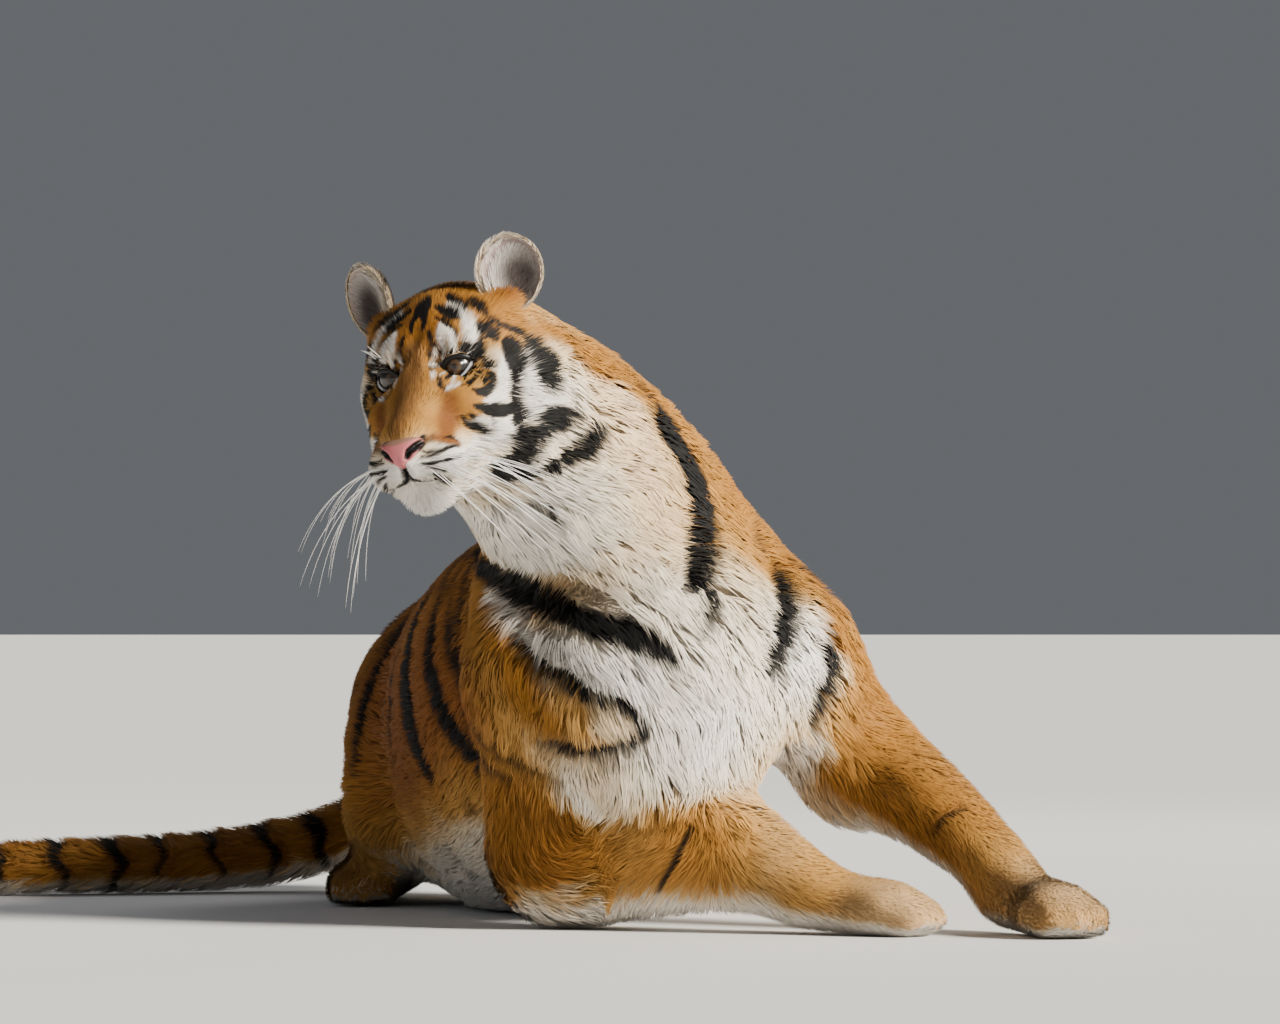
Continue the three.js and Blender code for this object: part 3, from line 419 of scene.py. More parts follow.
# Black marks of the face, drawn from the front, the same on both sides.
faceMarks = {
    "browBlob": ((-239, 753, 6), (-230, 748, 9), (-220, 742, 9), (-214, 739, 5)),
    "browThin": ((-241, 737, 2.5), (-233, 735, 4), (-223, 730, 3.5), (-217, 723, 3.5), (-214, 714, 2.5)),
    "browSpot": ((-210, 704, 3), (-204, 707, 8), (-196, 703, 6.5), (-190, 702, 3)),
    "browOuter": ((-185, 712, 4), (-183, 703, 8), (-187, 696, 7), (-192, 691, 4)),
    "foreheadMark": ((-250, 720, 2.5), (-248, 710, 4), (-246, 700, 4), (-243, 690, 2)),
    "crownMass": ((-254, 764, 5), (-261, 754, 8), (-264, 742, 6), (-270, 731, 3)),
    "crownFleck": ((-252, 738, 2), (-255, 730, 4), (-258, 721, 2)),
    "crownLine": ((-226, 768, 6), (-216, 760, 9), (-207, 752, 6)),
    "crownSpot": ((-198, 762, 7), (-190, 755, 11), (-181, 746, 6)),
    "crownThin": ((-180, 741, 4), (-170, 736, 5), (-160, 729, 5), (-146, 724, 5), (-132, 721, 5)),
    "outerBlob": ((-187, 731, 6), (-180, 725, 12), (-172, 720, 12), (-166, 715, 5)),
    "bandA": ((-154, 706, 6), (-146, 701, 18), (-143, 690, 19), (-141, 680, 17), (-139, 670, 14),
              (-139, 658, 12),
              (-139, 646, 12), (-141, 636, 10)),
    "bandAFoot": ((-138, 634, 8), (-136, 625, 15), (-133, 619, 15), (-140, 616, 10), (-146, 614, 4)),
    "bandAHook": ((-144, 632, 6), (-154, 626, 8), (-163, 626, 9), (-175, 627, 8), (-184, 629, 5),
                  (-193, 632, 2)),
    "sideBar": ((-130, 717, 7), (-118, 707, 17), (-108, 692, 22), (-101, 678, 22), (-95, 664, 20),
                (-90, 656, 9)),
    "lidTail": ((-192, 690, 4), (-182, 688, 6), (-176, 684, 5), (-170, 680, 3)),
    "lowerTail": ((-208, 659, 2), (-200, 660, 4), (-195, 667, 4), (-191, 675, 3.5), (-185, 678, 2.5)),
    "hook": ((-179, 675, 3), (-174, 671, 7), (-171, 663, 8), (-172, 656, 8), (-178, 648, 7), (-187, 648, 6),
             (-193, 652, 3)),
    "tear": ((-233, 669, 2.5), (-235, 663, 4), (-233, 658, 4.5), (-228, 655, 3.5), (-225, 651, 1.5)),
    "cheekLine": ((-208, 618, 2), (-200, 610, 4), (-190, 606, 5), (-180, 601, 6), (-172, 599, 3)),
    "cheekTick": ((-198, 620, 2.5), (-192, 617, 4)),
    "cheekThin": ((-172, 622, 1.5), (-168, 612, 2), (-169, 600, 1.5)),
    "cheekDot": ((-153, 588, 3), (-145, 594, 3)),
    "cheekBarTop": ((-110, 616, 8), (-100, 615, 18), (-88, 614, 20), (-76, 617, 16), (-62, 619, 6)),
    "cheekBarLow": ((-104, 597, 8), (-116, 592, 17), (-124, 582, 23), (-126, 572, 20), (-140, 566, 15),
                    (-154, 563, 11), (-168, 560, 4)),
    "ruffLine": ((-36, 606, 8), (-47, 598, 15), (-55, 586, 16), (-64, 575, 13), (-78, 568, 12),
                 (-96, 558, 13),
                 (-118, 549, 14), (-143, 545, 15), (-158, 549, 12), (-170, 553, 5)),
    "padMark": ((-226, 594, 2), (-217, 594, 3.5), (-209, 591, 2)),
    "whiskerRow1": ((-249, 576, 2), (-239, 575, 3.5), (-229, 578, 3), (-219, 582, 2.5), (-209, 584, 2)),
    "whiskerRow2": ((-252, 570, 1.5), (-244, 570, 2), (-233, 572, 1.5)),
    "whiskerRow3": ((-232, 565, 2), (-221, 567, 3), (-209, 570, 3), (-204, 574, 1.5)),
    "whiskerRow4": ((-253, 560, 2), (-244, 560, 3.5), (-235, 563, 2.5)),
    "whiskerRow5": ((-247, 555, 1.5), (-234, 554, 2.5), (-223, 551, 2.5)),
    "whiskerDot": ((-189, 565, 3), (-184, 568, 4), (-180, 575, 1.5)),
    # Painted shadow: black laid under the edge of the upper lip, where the lip casts shade.
    "underLipShadow": ((-238, 546, 3), (-228, 542, 4), (-218, 536, 3)),
    "lips": ((-279, 560, 2), (-274, 548, 2.5), (-268, 540, 3), (-257, 536, 3), (-245, 536, 3.5),
             (-234, 538, 4),
             (-224, 538, 4), (-213, 533, 2)),
}
# The nostrils are painted black: painted shade inside their openings.
nostril = ((-251, 595, 3), (-254, 587, 5), (-261, 580, 6), (-268, 575, 5), (-271, 567, 3))
# Arcs over the back of the crown: how far back, then half width, in the head's frame.
crownArcs = ((88, 8), (110, 8), (138, 8), (170, 8))
# Black stripes that only one side has: the view that they are drawn in, then places.
bodyMarks = {
    "neckStripe": ("front", (-2, 676, 8), (12, 655, 12), (27, 632, 16), (43, 602, 19), (62, 570, 20),
                   (75, 537, 22),
                   (82, 505, 21), (82, 470, 20), (76, 440, 18), (66, 418, 8)),
    "neckStripeFoot": ("front", (88, 425, 11), (90, 400, 10), (84, 380, 10), (76, 368, 5)),
    "neckStripeFork": ("front", (66, 430, 6), (54, 418, 4)),
    "neckSpot": ("front", (-104, 512, 4), (-103, 496, 6), (-100, 484, 3)),
    "armThin": ("front", (146, 500, 4), (150, 480, 6), (152, 462, 4)),
    "armStripe": ("front", (172, 448, 8), (178, 430, 13), (183, 405, 17), (182, 380, 19), (174, 350, 18),
                  (168, 325, 15), (164, 310, 7)),
    "armBack": ("front", (190, 455, 5), (210, 442, 8), (228, 420, 6)),
    "armOuter": ("front", (238, 370, 6), (238, 340, 11), (234, 310, 14), (227, 284, 13), (218, 262, 9),
                 (212, 245, 6)),
    "chestStripe": ("front", (-212, 470, 5), (-184, 436, 15), (-157, 416, 18), (-120, 400, 17),
                    (-83, 384, 16),
                    (-42, 374, 19), (0, 358, 20), (26, 342, 12), (42, 328, 5)),
    "chestStripeLow": ("front", (-158, 360, 5), (-136, 338, 9), (-118, 320, 11), (-88, 299, 12),
                       (-52, 280, 13),
                       (-10, 268, 13), (4, 264, 6)),
    "foldStripe": ("front", (-122, 228, 6), (-90, 221, 10), (-52, 215, 10), (-18, 224, 10),
                   (0, 240, 13), (6, 252, 7)),
    "shoulderLeftA": ("left", (40, 520, 4), (40, 440, 8), (20, 390, 4)),
    "shoulderLeftB": ("left", (130, 520, 4), (120, 430, 9), (90, 350, 4)),
    "elbowLeft": ("left", (90, 250, 4), (110, 210, 7), (130, 180, 4)),
    "forearmRightInner": ("front", (20, 50, 3), (40, 90, 5), (60, 130, 3)),
    "forearmLeftInner": ("front", (350, 120, 3), (370, 150, 5), (400, 160, 3)),
}
# Bars down the right flank: where each leaves the back, how far forward its foot is, and its half width.
flankBars = ((690, 130, 15), (540, 110, 15), (430, 190, 29), (300, 250, 22), (215, 300, 13), (120, 250, 9))
drawn = {}


def flankBar(back, forward, half):
    steps = np.linspace(0, 1, 6)
    wide = 0.4 + 0.6 * np.sin(np.pi * steps) ** 0.6
    return ("right", *[(back - forward * t ** 1.2, 425 - 245 * t, half * w) for t, w in zip(steps, wide)])


# Places of an elevation, carried back onto the tiger's own surface.
def onForm(tree, view, places):
    found = []
    for across, up, half in places:
        if view == "front":
            start, way = (across, -1500, up), (0, 1, 0)
        else:
            side = 1 if view == "left" else -1
            start, way = (side * 1500, across, up), (-side, 0, 0)
        hit = tree.ray_cast(start, way)[0] or tree.find_nearest(np.multiply(start, np.equal(way, 0)))[0]
        found.append((*hit, half))
    return np.array(found)


def drawMarks(spots, faces):
    tree = BVHTree.FromPolygons(spots.tolist(), faces.tolist())

    def onFace(places):
        places = onForm(tree, "front", places)
        places[:, :3] = folded(intoHead(places[:, :3]))
        return places

    drawn["nostril"] = onFace(nostril)
    drawn["mouth"] = onFace(faceMarks["lips"])
    drawn["face"] = [onFace(places) for places in faceMarks.values()]
    drawn["face"] += [np.array(((8, y, 92 - 0.1 * (y - 88), w), (44, y + 10, 88 - 0.2 * (y - 88), w),
                                (78, y + 18, 70 - 0.3 * (y - 88), w - 2))) for y, w in crownArcs]
    drawn["facePatches"] = [(name, soft, onFace(places)) for name, soft, *places in facePatches.values()]
    bars = [flankBar(*bar) for bar in flankBars]
    drawn["body"] = [onForm(tree, view, places) for view, *places in [*bodyMarks.values(), *bars]]
    drawn["bodyPatches"] = [(name, soft, onForm(tree, view, places))
                            for view, name, soft, *places in bodyPatches.values()]


# Rings round a line: where they start and end along it, how far apart, half width, and how far round they go.
ringMarks = {
    "trunk": {"line": ((40, -70, 325), (-5, 50, 338), (-75, 230, 282), (-135, 440, 246), (-172, 640, 234),
                       (-184, 820, 242), (-178, 945, 242), (-168, 1035, 205)),
              "from": 230, "to": 1150, "step": 64, "half": 9.5, "lean": 30, "reach": 2.45, "split": 9,
              "girth": 200},
    "tail": {"line": ((-166, 1000, 215), (-225, 1075, 168), (-330, 1110, 118), (-470, 1085, 66),
                      (-640, 1020, 45), (-800, 965, 43), (-1010, 902, 32)),
             "from": 70, "to": 930, "step": 74, "half": 12, "lean": 8, "reach": 2.7, "split": 0, "girth": 70},
    "rightThigh": {"line": ((-240, 940, 330), (-290, 800, 260), (-312, 605, 140)),
                   "from": 60, "to": 380, "step": 58, "half": 9, "lean": 14, "reach": 2.2, "split": 6,
                   "girth": 115},
    "leftThigh": {"line": ((-130, 940, 330), (-80, 800, 260), (-48, 605, 140)),
                  "from": 60, "to": 380, "step": 58, "half": 9, "lean": 14, "reach": 2.2, "split": 6,
                  "girth": 115},
}
# The rings leave out the front of the right flank, which has its own stripes above.
ringsClear = {"at": (-300, 380, 250), "radii": (140, 370, 180)}
ringReach = 330  # no ring is looked for further than this from its line


def ripple(p, size):
    q = p / size
    return (np.sin(q[:, 0] * 1.9 + 1.3 * np.sin(q[:, 1] * 1.1))
            + np.sin(q[:, 1] * 2.3 + 1.7 * np.sin(q[:, 2] * 1.3))
            + np.sin(q[:, 2] * 2.1 + 1.5 * np.sin(q[:, 0] * 0.9))) / 3


# How much of a mark lies on each place: 1 in its middle, and soft at its edges.
def strokeMask(p, normal, places, soft):
    mask = np.zeros(len(p))
    spots = np.array(places, float)
    margin = 36 + soft + spots[:, 3].max()
    low, high = spots[:, :3].min(0) - margin, spots[:, :3].max(0) + margin
    close = np.nonzero(((p > low) & (p < high)).all(1))[0]
    q, out = p[close], normal[close]
    best = np.full(len(q), -1e9)
    for one, two in zip(spots, spots[1:]):
        d = two[:3] - one[:3]
        t = np.clip((q - one[:3]) @ d / (d @ d), 0, 1)
        gap = q - one[:3] - t[:, None] * d
        off = (gap * out).sum(1)
        flat = np.linalg.norm(gap - off[:, None] * out, axis=1)
        best = np.maximum(best, one[3] + (two[3] - one[3]) * t - flat - 0.4 * np.maximum(np.abs(off) - 24, 0))
    mask[close] = ease(-soft, soft, best)
    return mask


def ringMask(p, plan):
    spots = np.array(plan["line"], float)
    best = np.full(len(p), 1e9)
    run = np.zeros(len(p))
    around = np.zeros(len(p))
    start = 0
    for one, two in zip(spots, spots[1:]):
        d = two - one
        length = np.linalg.norm(d)
        t = np.clip((p - one) @ d / (d @ d), 0, 1)
        off = p - one - t[:, None] * d
        gap = np.linalg.norm(off, axis=1)
        side = unit(np.cross(d, [0, 0, 1]))
        angle = np.arctan2(off @ side, off[:, 2])
        closer = gap < best
        run[closer] = start + t[closer] * length
        around[closer] = angle[closer]
        best = np.minimum(best, gap)
        start += length
    mask = np.zeros(len(p))
    turn = np.abs(around)
    for n, at in enumerate(np.arange(plan["from"], plan["to"], plan["step"])):
        for hand in (-1, 1):
            odd = (n * 5 + (hand > 0) * 3) % 7
            centre = at + plan["lean"] * np.sin(1.2 * turn + 0.5 * odd) + 5 * np.sin(4 * turn + odd)
            reach = plan["reach"] * (0.82 + 0.045 * odd)
            half = plan["half"] * (0.65 + 0.09 * odd) * np.sqrt(np.clip(1 - (turn / reach) ** 2, 0, 1))
            gap = np.abs(run - centre)
            if plan["split"] and odd % 2:
                apart = plan["split"] * np.sin(np.clip(turn / reach, 0, 1) * np.pi) ** 0.6
                gap = np.abs(gap - apart)
                half = half * 0.62
            mine = (around * hand >= -0.02) & (turn < reach)
            mask = np.maximum(mask, np.where(mine, ease(-3, 3, half - gap), 0))
    return mask, best / plan["girth"]


def blackAt(p, normal):
    head = intoHead(p)
    flip = sideOf(head)
    head, out = head * flip, (normal @ headTurn) * flip
    rim = np.maximum(lidGap(head), 0)
    black = ease(4.2, 3.0, rim) * (rim > 0)
    # The nostrils are painted black: painted shade inside their openings.
    black = np.maximum(black, ease(-2.2, -0.6, reachOf(head, drawn["nostril"])))
    bent = head + 1.2 * ripple(p, 9)[:, None]
    for places in drawn["face"]:
        black = np.maximum(black, strokeMask(bent, out, places, 1.3))
    bent = p + 3.5 * ripple(p, 22)[:, None]
    for places in drawn["body"]:
        black = np.maximum(black, strokeMask(bent, normal, places, 3))
    body = ease(170, 230, fromHead(head))
    aside = np.linalg.norm((p - ringsClear["at"]) / ringsClear["radii"], axis=1)
    masks, nearness = [], []
    for plan in ringMarks.values():
        lines = np.array(plan["line"], float)
        low, high = lines.min(0) - ringReach, lines.max(0) + ringReach
        close = ((p > low) & (p < high)).all(1)
        mask, gap = np.zeros(len(p)), np.full(len(p), 9.0)
        mask[close], gap[close] = ringMask(bent[close], plan)
        masks.append(mask)
        nearness.append(gap)
    for n, mask in enumerate(masks):  # the rings of the nearest length only
        others = np.min([gap for k, gap in enumerate(nearness) if k != n], axis=0)
        own = ease(-0.02, 0.05, others - nearness[n])
        black = np.maximum(black, mask * own * body * ease(0.9, 1.1, aside))
    return black


# One colour laid over another, by its share.
def laid(under, over, share):
    return under * (1 - share[:, None]) + np.array(over) * share[:, None]


def colourAt(p, normal):
    tone = coatAt(p)[3] + 0.05 * ripple(p, 60)
    head = intoHead(p)
    headNear = ease(190, 150, fromHead(head))
    tone = tone * (1 - 0.9 * ease(-0.25, -0.8, normal[:, 2]) * (1 - headNear))
    stops = [0, 0.35, 0.62, 0.9, 1.05]
    ramp = [coatColours[name] for name in ("white", "cream", "gold", "orange", "deep")]
    colour = np.stack([np.interp(tone, stops, [c[k] for c in ramp]) for k in range(3)], 1)
    uneven = p + 8 * ripple(p, 30)[:, None]
    for name, soft, places in drawn["bodyPatches"]:
        colour = laid(colour, coatColours[name], strokeMask(uneven, normal, places, soft))
    flip = sideOf(head)
    head, out = head * flip, (normal @ headTurn) * flip
    bent = head + 1.2 * ripple(p, 9)[:, None]
    for name, soft, places in drawn["facePatches"]:
        colour = laid(colour, coatColours[name], strokeMask(bent, out, places, soft))
    return laid(colour, coatColours["black"], blackAt(p, normal))


skinPlan = {"voxel": 0.0078, "rounds": 14, "bodyRounds": 70}


def selectFaces(obj, chosen):
    bpy.ops.object.select_all(action="DESELECT")
    obj.select_set(True)
    bpy.context.view_layer.objects.active = obj
    bpy.context.tool_settings.mesh_select_mode = (False, False, True)
    bpy.ops.object.mode_set(mode="EDIT")
    bpy.ops.mesh.select_all(action="DESELECT")
    bpy.ops.object.mode_set(mode="OBJECT")
    obj.data.polygons.foreach_set("select", np.asarray(chosen, bool))
    bpy.ops.object.mode_set(mode="EDIT")


def meshOf(obj):
    mesh = obj.data
    spots = np.zeros(len(mesh.vertices) * 3)
    mesh.vertices.foreach_get("co", spots)
    mesh.calc_loop_triangles()
    faces = np.zeros(len(mesh.loop_triangles) * 3, np.int32)
    mesh.loop_triangles.foreach_get("vertices", faces)
    return spots.reshape(-1, 3), faces.reshape(-1, 3)


def normalsOf(spots, faces):
    a, b, c = (spots[faces[:, k]] for k in range(3))
    cross = np.cross(b - a, c - a)
    total = np.zeros_like(spots)
    for k in range(3):
        for axis in range(3):
            total[:, axis] += np.bincount(faces[:, k], cross[:, axis], len(spots))
    return unit(total)


# Evens a mesh: one pass draws each spot to its neighbours, and the next pushes it back out.
def relaxed(spots, faces, share, rounds, back=0.85):
    edges = np.concatenate([faces[:, [0, 1]], faces[:, [1, 2]], faces[:, [2, 0]]])
    count = np.bincount(edges[:, 0], minlength=len(spots))[:, None]
    for turn in range(rounds):
        total = np.stack([np.bincount(edges[:, 0], spots[edges[:, 1], k], len(spots)) for k in range(3)], 1)
        step = total / np.maximum(count, 1) - spots
        spots = spots + step * (share if turn % 2 == 0 else -back * share)
    return spots


def setSpots(obj, spots):
    obj.data.vertices.foreach_set("co", np.asarray(spots, np.float32).ravel())
    obj.data.update()


def joinedFlesh(nodes):
    bpy.ops.object.select_all(action="DESELECT")
    for name in nodes:
        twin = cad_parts[name].copy()
        twin.data = twin.data.copy()
        twin.parent = None
        for key in list(twin.keys()):
            del twin[key]
        bpy.context.scene.collection.objects.link(twin)
        twin.select_set(True)
        bpy.context.view_layer.objects.active = twin
    bpy.ops.object.join()
    skin = bpy.context.object
    skin.name = skin.data.name = "skin"
    bpy.ops.object.mode_set(mode="EDIT")
    bpy.ops.mesh.select_all(action="SELECT")
    bpy.ops.mesh.remove_doubles(threshold=0.00001)
    bpy.ops.object.mode_set(mode="OBJECT")
    return skin


# How far the facets are smoothed away: fully on trunk and neck, little on the head, feet and tail.
def bodyShare(tiger):
    return ease(120, 200, fromHead(intoHead(tiger))) * ease(40, 120, tiger[:, 2])


def frontOfFace(head):
    return (head[:, 1] < 70) & (head[:, 2] < 70)


def eyesAndMouth(head):
    eye = np.linalg.norm(folded(head) - [50, -10, -2], axis=1)
    return (eye < 34) | ((head[:, 1] < -20) & (head[:, 2] < -84) & (head[:, 2] > -140))


def makeSkin():
    skin = joinedFlesh([name for name in sorted(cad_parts) if not name.endswith("_ear")])
    remesh = skin.modifiers.new("remesh", "REMESH")
    remesh.mode = "VOXEL"
    remesh.voxel_size = skinPlan["voxel"]
    bpy.ops.object.modifier_apply(modifier="remesh")
    bpy.ops.object.mode_set(mode="EDIT")
    bpy.ops.mesh.select_all(action="SELECT")
    bpy.ops.mesh.quads_convert_to_tris()
    bpy.ops.mesh.separate(type="LOOSE")
    bpy.ops.object.mode_set(mode="OBJECT")
    loose = sorted(bpy.context.selected_objects, key=lambda o: len(o.data.vertices))
    skin = loose.pop()
    for bit in loose:
        bpy.data.objects.remove(bit)
    skin.name = "skin"
    skin.data.materials.clear()
    print("stage: remeshed", len(skin.data.vertices))
    for chosen in (frontOfFace, eyesAndMouth):
        spots, faces = meshOf(skin)
        selectFaces(skin, chosen(intoHead(fromRow(spots[faces].mean(1)))))
        bpy.ops.mesh.subdivide(number_cuts=1)
        bpy.ops.mesh.select_all(action="SELECT")
        bpy.ops.mesh.quads_convert_to_tris()
        bpy.ops.object.mode_set(mode="OBJECT")
    spots, faces = meshOf(skin)
    print("stage: subdivided", len(spots), len(faces))
    spots = relaxed(spots, faces, 0.6, skinPlan["rounds"])
    tiger = fromRow(spots)
    rest = bodyShare(tiger)[:, None]
    spots = spots * (1 - rest) + relaxed(spots, faces, 0.6, skinPlan["bodyRounds"], 1.04) * rest
    tiger = fromRow(spots)
    head = intoHead(tiger)
    for turn in range(3):
        near = np.nonzero((np.linalg.norm(head - [0, 20, -40], axis=1) < 230))[0]
        field = headField(head[near])
        slope = slopeOf(headField, head[near])
        share = ease(12, 5, np.abs(field)) * ease(150, 90, head[near, 1])
        share *= ease(70, 58, head[near, 2])
        move = -(share * field / np.maximum((slope ** 2).sum(1), 0.2))[:, None] * slope
        head[near] += move
    tiger = outOfHead(head)
    outer = relaxed(tiger, faces, 0.3, 2)
    drawMarks(outer, faces)
    normal = normalsOf(outer, faces)
    for turn in range(2):
        normal = unit(relaxed(normal, faces, 0.5, 1))
    depth = coatAt(outer)[0]
    inner = outer - normal * depth[:, None]
    inner = relaxed(inner, faces, 0.5, 2)
    inner = outOfHead(sculpted(intoHead(inner), normal @ headTurn))
    setSpots(skin, toRow(inner))
    return skin, outer, inner, faces


# The way an eye opens, the way along its lids, and the way up.
def eyeAxes(side):
    forward = unit(np.array(eyeSizes["opening"]) * [side, 1, 1])
    slant = math.radians(eyeSizes["slant"])
    across = np.array([side * math.cos(slant), 0, math.sin(slant)])
    across = unit(across - (across @ forward) * forward)
    upward = np.cross(forward, across) * side
    return forward, across, upward * np.sign(upward[2])


def lidHeights(a):
    return [np.interp(a, lidEdges["along"], lidEdges[edge]) for edge in ("upper", "lower")]


def overBall(head, side):
    forward, across, upward = eyeAxes(side)
    v = head - np.array(eyeSizes["at"]) * [side, 1, 1]
    r = np.linalg.norm(v, axis=1)
    way = v / np.maximum(r, 1e-6)[:, None]
    a = np.arcsin(np.clip(way @ across, -1, 1)) * eyeSizes["ball"]
    b = np.arcsin(np.clip(way @ upward, -1, 1)) * eyeSizes["ball"]
    return a, b, r, way, way @ forward


def edgeGap(a, b):
    loop = lidLoop()
    far = np.full(len(a), 1e9)
    for (ax, ay), (bx, by) in zip(loop, np.roll(loop, -1, 0)):
        dx, dy = bx - ax, by - ay
        t = np.clip(((a - ax) * dx + (b - ay) * dy) / (dx * dx + dy * dy), 0, 1)
        far = np.minimum(far, np.hypot(a - ax - t * dx, b - ay - t * dy))
    top, bottom = lidHeights(a)
    inside = (b < top) & (b > bottom) & (np.abs(a - lidEdges["middle"]) < lidEdges["half"])
    return np.where(inside, -far, far)


def lidLoop(n=32):
    a = lidEdges["middle"] - lidEdges["half"] * np.cos(np.arange(n) * 2 * np.pi / n)
    top, bottom = lidHeights(a)
    return np.stack([a, np.where(np.arange(n) < n // 2, top, bottom)], 1)


# How far a place of the folded head lies outside the opening of the lids, below zero inside it.
def lidGap(head):
    a, b, r, _, ahead = overBall(head, 1)
    gap = np.full(len(head), 99.0)
    near = (ahead > 0) & (r < 40)
    gap[near] = edgeGap(a[near], b[near])
    return gap


philtrum = ((0, -120, -84), (0, -118, -94), (0, -114, -102))


# How far a place lies inside a stroke, below zero outside it.
def reachOf(p, places):
    best = np.full(len(p), -1e9)
    for one, two in zip(places, places[1:]):
        one, d = np.array(one, float), np.subtract(two, one)
        t = np.clip((p - one[:3]) @ d[:3] / (d[:3] @ d[:3]), 0, 1)
        gap = np.linalg.norm((p - one[:3] - t[:, None] * d[:3]) * [1, 0.4, 1], axis=1)
        best = np.maximum(best, one[3] + d[3] * t - gap)
    return best


def lineGap(p, line):
    gap = np.full(len(p), 1e9)
    for one, two in zip(line, line[1:]):
        one, d = np.array(one[:3], float), np.subtract(two[:3], one[:3])
        t = np.clip((p - one) @ d / (d @ d), 0, 1)
        gap = np.minimum(gap, np.linalg.norm(p - one - t[:, None] * d, axis=1))
    return gap


# The line of the mouth, the nostrils and the lids, pressed into the skin of the head.
def sculpted(head, normal):
    half = folded(head)
    for line, deep, wide in ((drawn["mouth"], 9.0, 4.2), (philtrum, 4.0, 2.6)):
        head = head - normal * (deep * np.exp(-(lineGap(half, line) / wide) ** 2))[:, None]
    head = head - normal * (13 * ease(-2.5, 3, reachOf(half, drawn["nostril"])))[:, None]
    for side in (1, -1):
        a, b, r, way, ahead = overBall(head, side)
        near = np.nonzero((r < 46) & (ahead > -0.1))[0]
        gap = edgeGap(a[near], b[near])
        inside = (gap < 0) & (ahead[near] > 0.2)
        lid = eyeSizes["ball"] + eyeSizes["lid"]
        grown = -blend(-r[near], np.full(len(near), -lid), 3.0)
        slope = lid - 1.2 * ease(6, 0, gap) + 0.42 * np.maximum(gap, 0) + 12 * ease(9, 20, gap)
        slope = slope + 30 * ease(0.3, -0.1, ahead[near])
        grown = np.minimum(grown, slope)
        centre = np.array(eyeSizes["at"]) * [side, 1, 1]
        head[near] = centre + way[near] * np.where(inside, eyeSizes["ball"] - 4, grown)[:, None]
    return head


def storeColour(obj, name, colour):
    layer = obj.data.color_attributes.new(name, "FLOAT_COLOR", "POINT")
    full = np.concatenate([colour, np.ones((len(colour), 1))], 1)
    layer.data.foreach_set("color", full.astype(np.float32).ravel())


def coatFinish(name, roughness, sheen):
    material = bpy.data.materials.new(name)
    material.use_nodes = True
    nodes, links = material.node_tree.nodes, material.node_tree.links
    shader = nodes["Principled BSDF"]
    colour = nodes.new("ShaderNodeAttribute")
    colour.attribute_name = "coatColour"
    links.new(colour.outputs["Color"], shader.inputs["Base Color"])
    shader.inputs["Roughness"].default_value = roughness
    shader.inputs["Specular IOR Level"].default_value = 0.25
    shader.inputs["Sheen Weight"].default_value = sheen
    return material


def meshPiece(name, spots, faces, material):
    mesh = bpy.data.meshes.new(name)
    mesh.vertices.add(len(spots))
    mesh.vertices.foreach_set("co", np.asarray(spots, np.float32).ravel())
    mesh.loops.add(faces.size)
    mesh.loops.foreach_set("vertex_index", faces.astype(np.int32).ravel())
    mesh.polygons.add(len(faces))
    mesh.polygons.foreach_set("loop_start", np.arange(0, faces.size, faces.shape[1], dtype=np.int32))
    mesh.polygons.foreach_set("use_smooth", np.ones(len(faces), bool))
    mesh.update(calc_edges=True)
    mesh.validate()
    piece = bpy.data.objects.new(name, mesh)
    bpy.context.scene.collection.objects.link(piece)
    piece.data.materials.append(material)
    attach(piece, "root")
    return piece


tuftPlan = {"spacing": 1.45, "fineSpacing": 1.3, "fineUnder": 37, "swing": 5, "swingMore": 0.22,
            "clumpOver": 26, "clump": 19, "pull": 0.6, "roll": 9, "own": 0.35, "patch": 0.003, "sunk": 1.5}
coatSplit = 40  # the chest's coat is made in two pieces, which meet here
# Each piece of the coat, and the nodes that it stands on.
coatPieces = {
    "coatMuzzle": ("muzzle", "lower_jaw", "nose"), "coatHead": ("head", "left_eye", "right_eye"),
    "coatNeck": ("neck",), "coatChest": ("chest",), "coatChestLeft": (),
    "coatFlanks": ("belly",), "coatRump": ("rump",),
    "coatTail": ("tail_base", "tail_middle", "tail_end", "tail_tip"),
    "coatRightArm": ("right_upper_arm", "right_forearm", "right_forepaw"),
    "coatLeftArm": ("left_upper_arm", "left_forearm", "left_forepaw"),
    "coatRightLeg": ("right_thigh", "right_shank", "right_hindpaw"),
    "coatLeftLeg": ("left_thigh", "left_shank", "left_hindpaw"),
}


def pieceOfFaces(middles):
    names = sorted(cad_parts)
    owner = [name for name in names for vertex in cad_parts[name].data.vertices]
    tree = KDTree(len(owner))
    n = 0
    for name in names:
        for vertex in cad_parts[name].data.vertices:
            tree.insert(vertex.co, n)
            n += 1
    tree.balance()
    group = {node: n for n, nodes in enumerate(coatPieces.values()) for node in nodes}
    pieces = np.array([group.get(owner[tree.find(place)[1]], -1) for place in toRow(middles)])
    pieces[(pieces == group["chest"]) & (middles[:, 0] > coatSplit)] += 1
    return pieces


# Roots of tufts, spread by chance over the faces: the face and the share of each of its corners.
def rootsOn(spots, faces, spacing):
    a, b, c = (spots[faces[:, k]] for k in range(3))
    area = np.linalg.norm(np.cross(b - a, c - a), axis=1) / 2
    wanted = area / spacing[faces].mean(1) ** 2
    count = np.floor(wanted + chance.random(len(faces))).astype(int)
    which = np.repeat(np.arange(len(faces)), count)
    u, v = chance.random((2, len(which)))
    over = u + v > 1
    u[over], v[over] = 1 - u[over], 1 - v[over]
    return which, np.stack([1 - u - v, u, v], 1)


def mixed(values, corner, share):
    return (values[corner] * (share[:, :, None] if values.ndim == 2 else share)).sum(1)


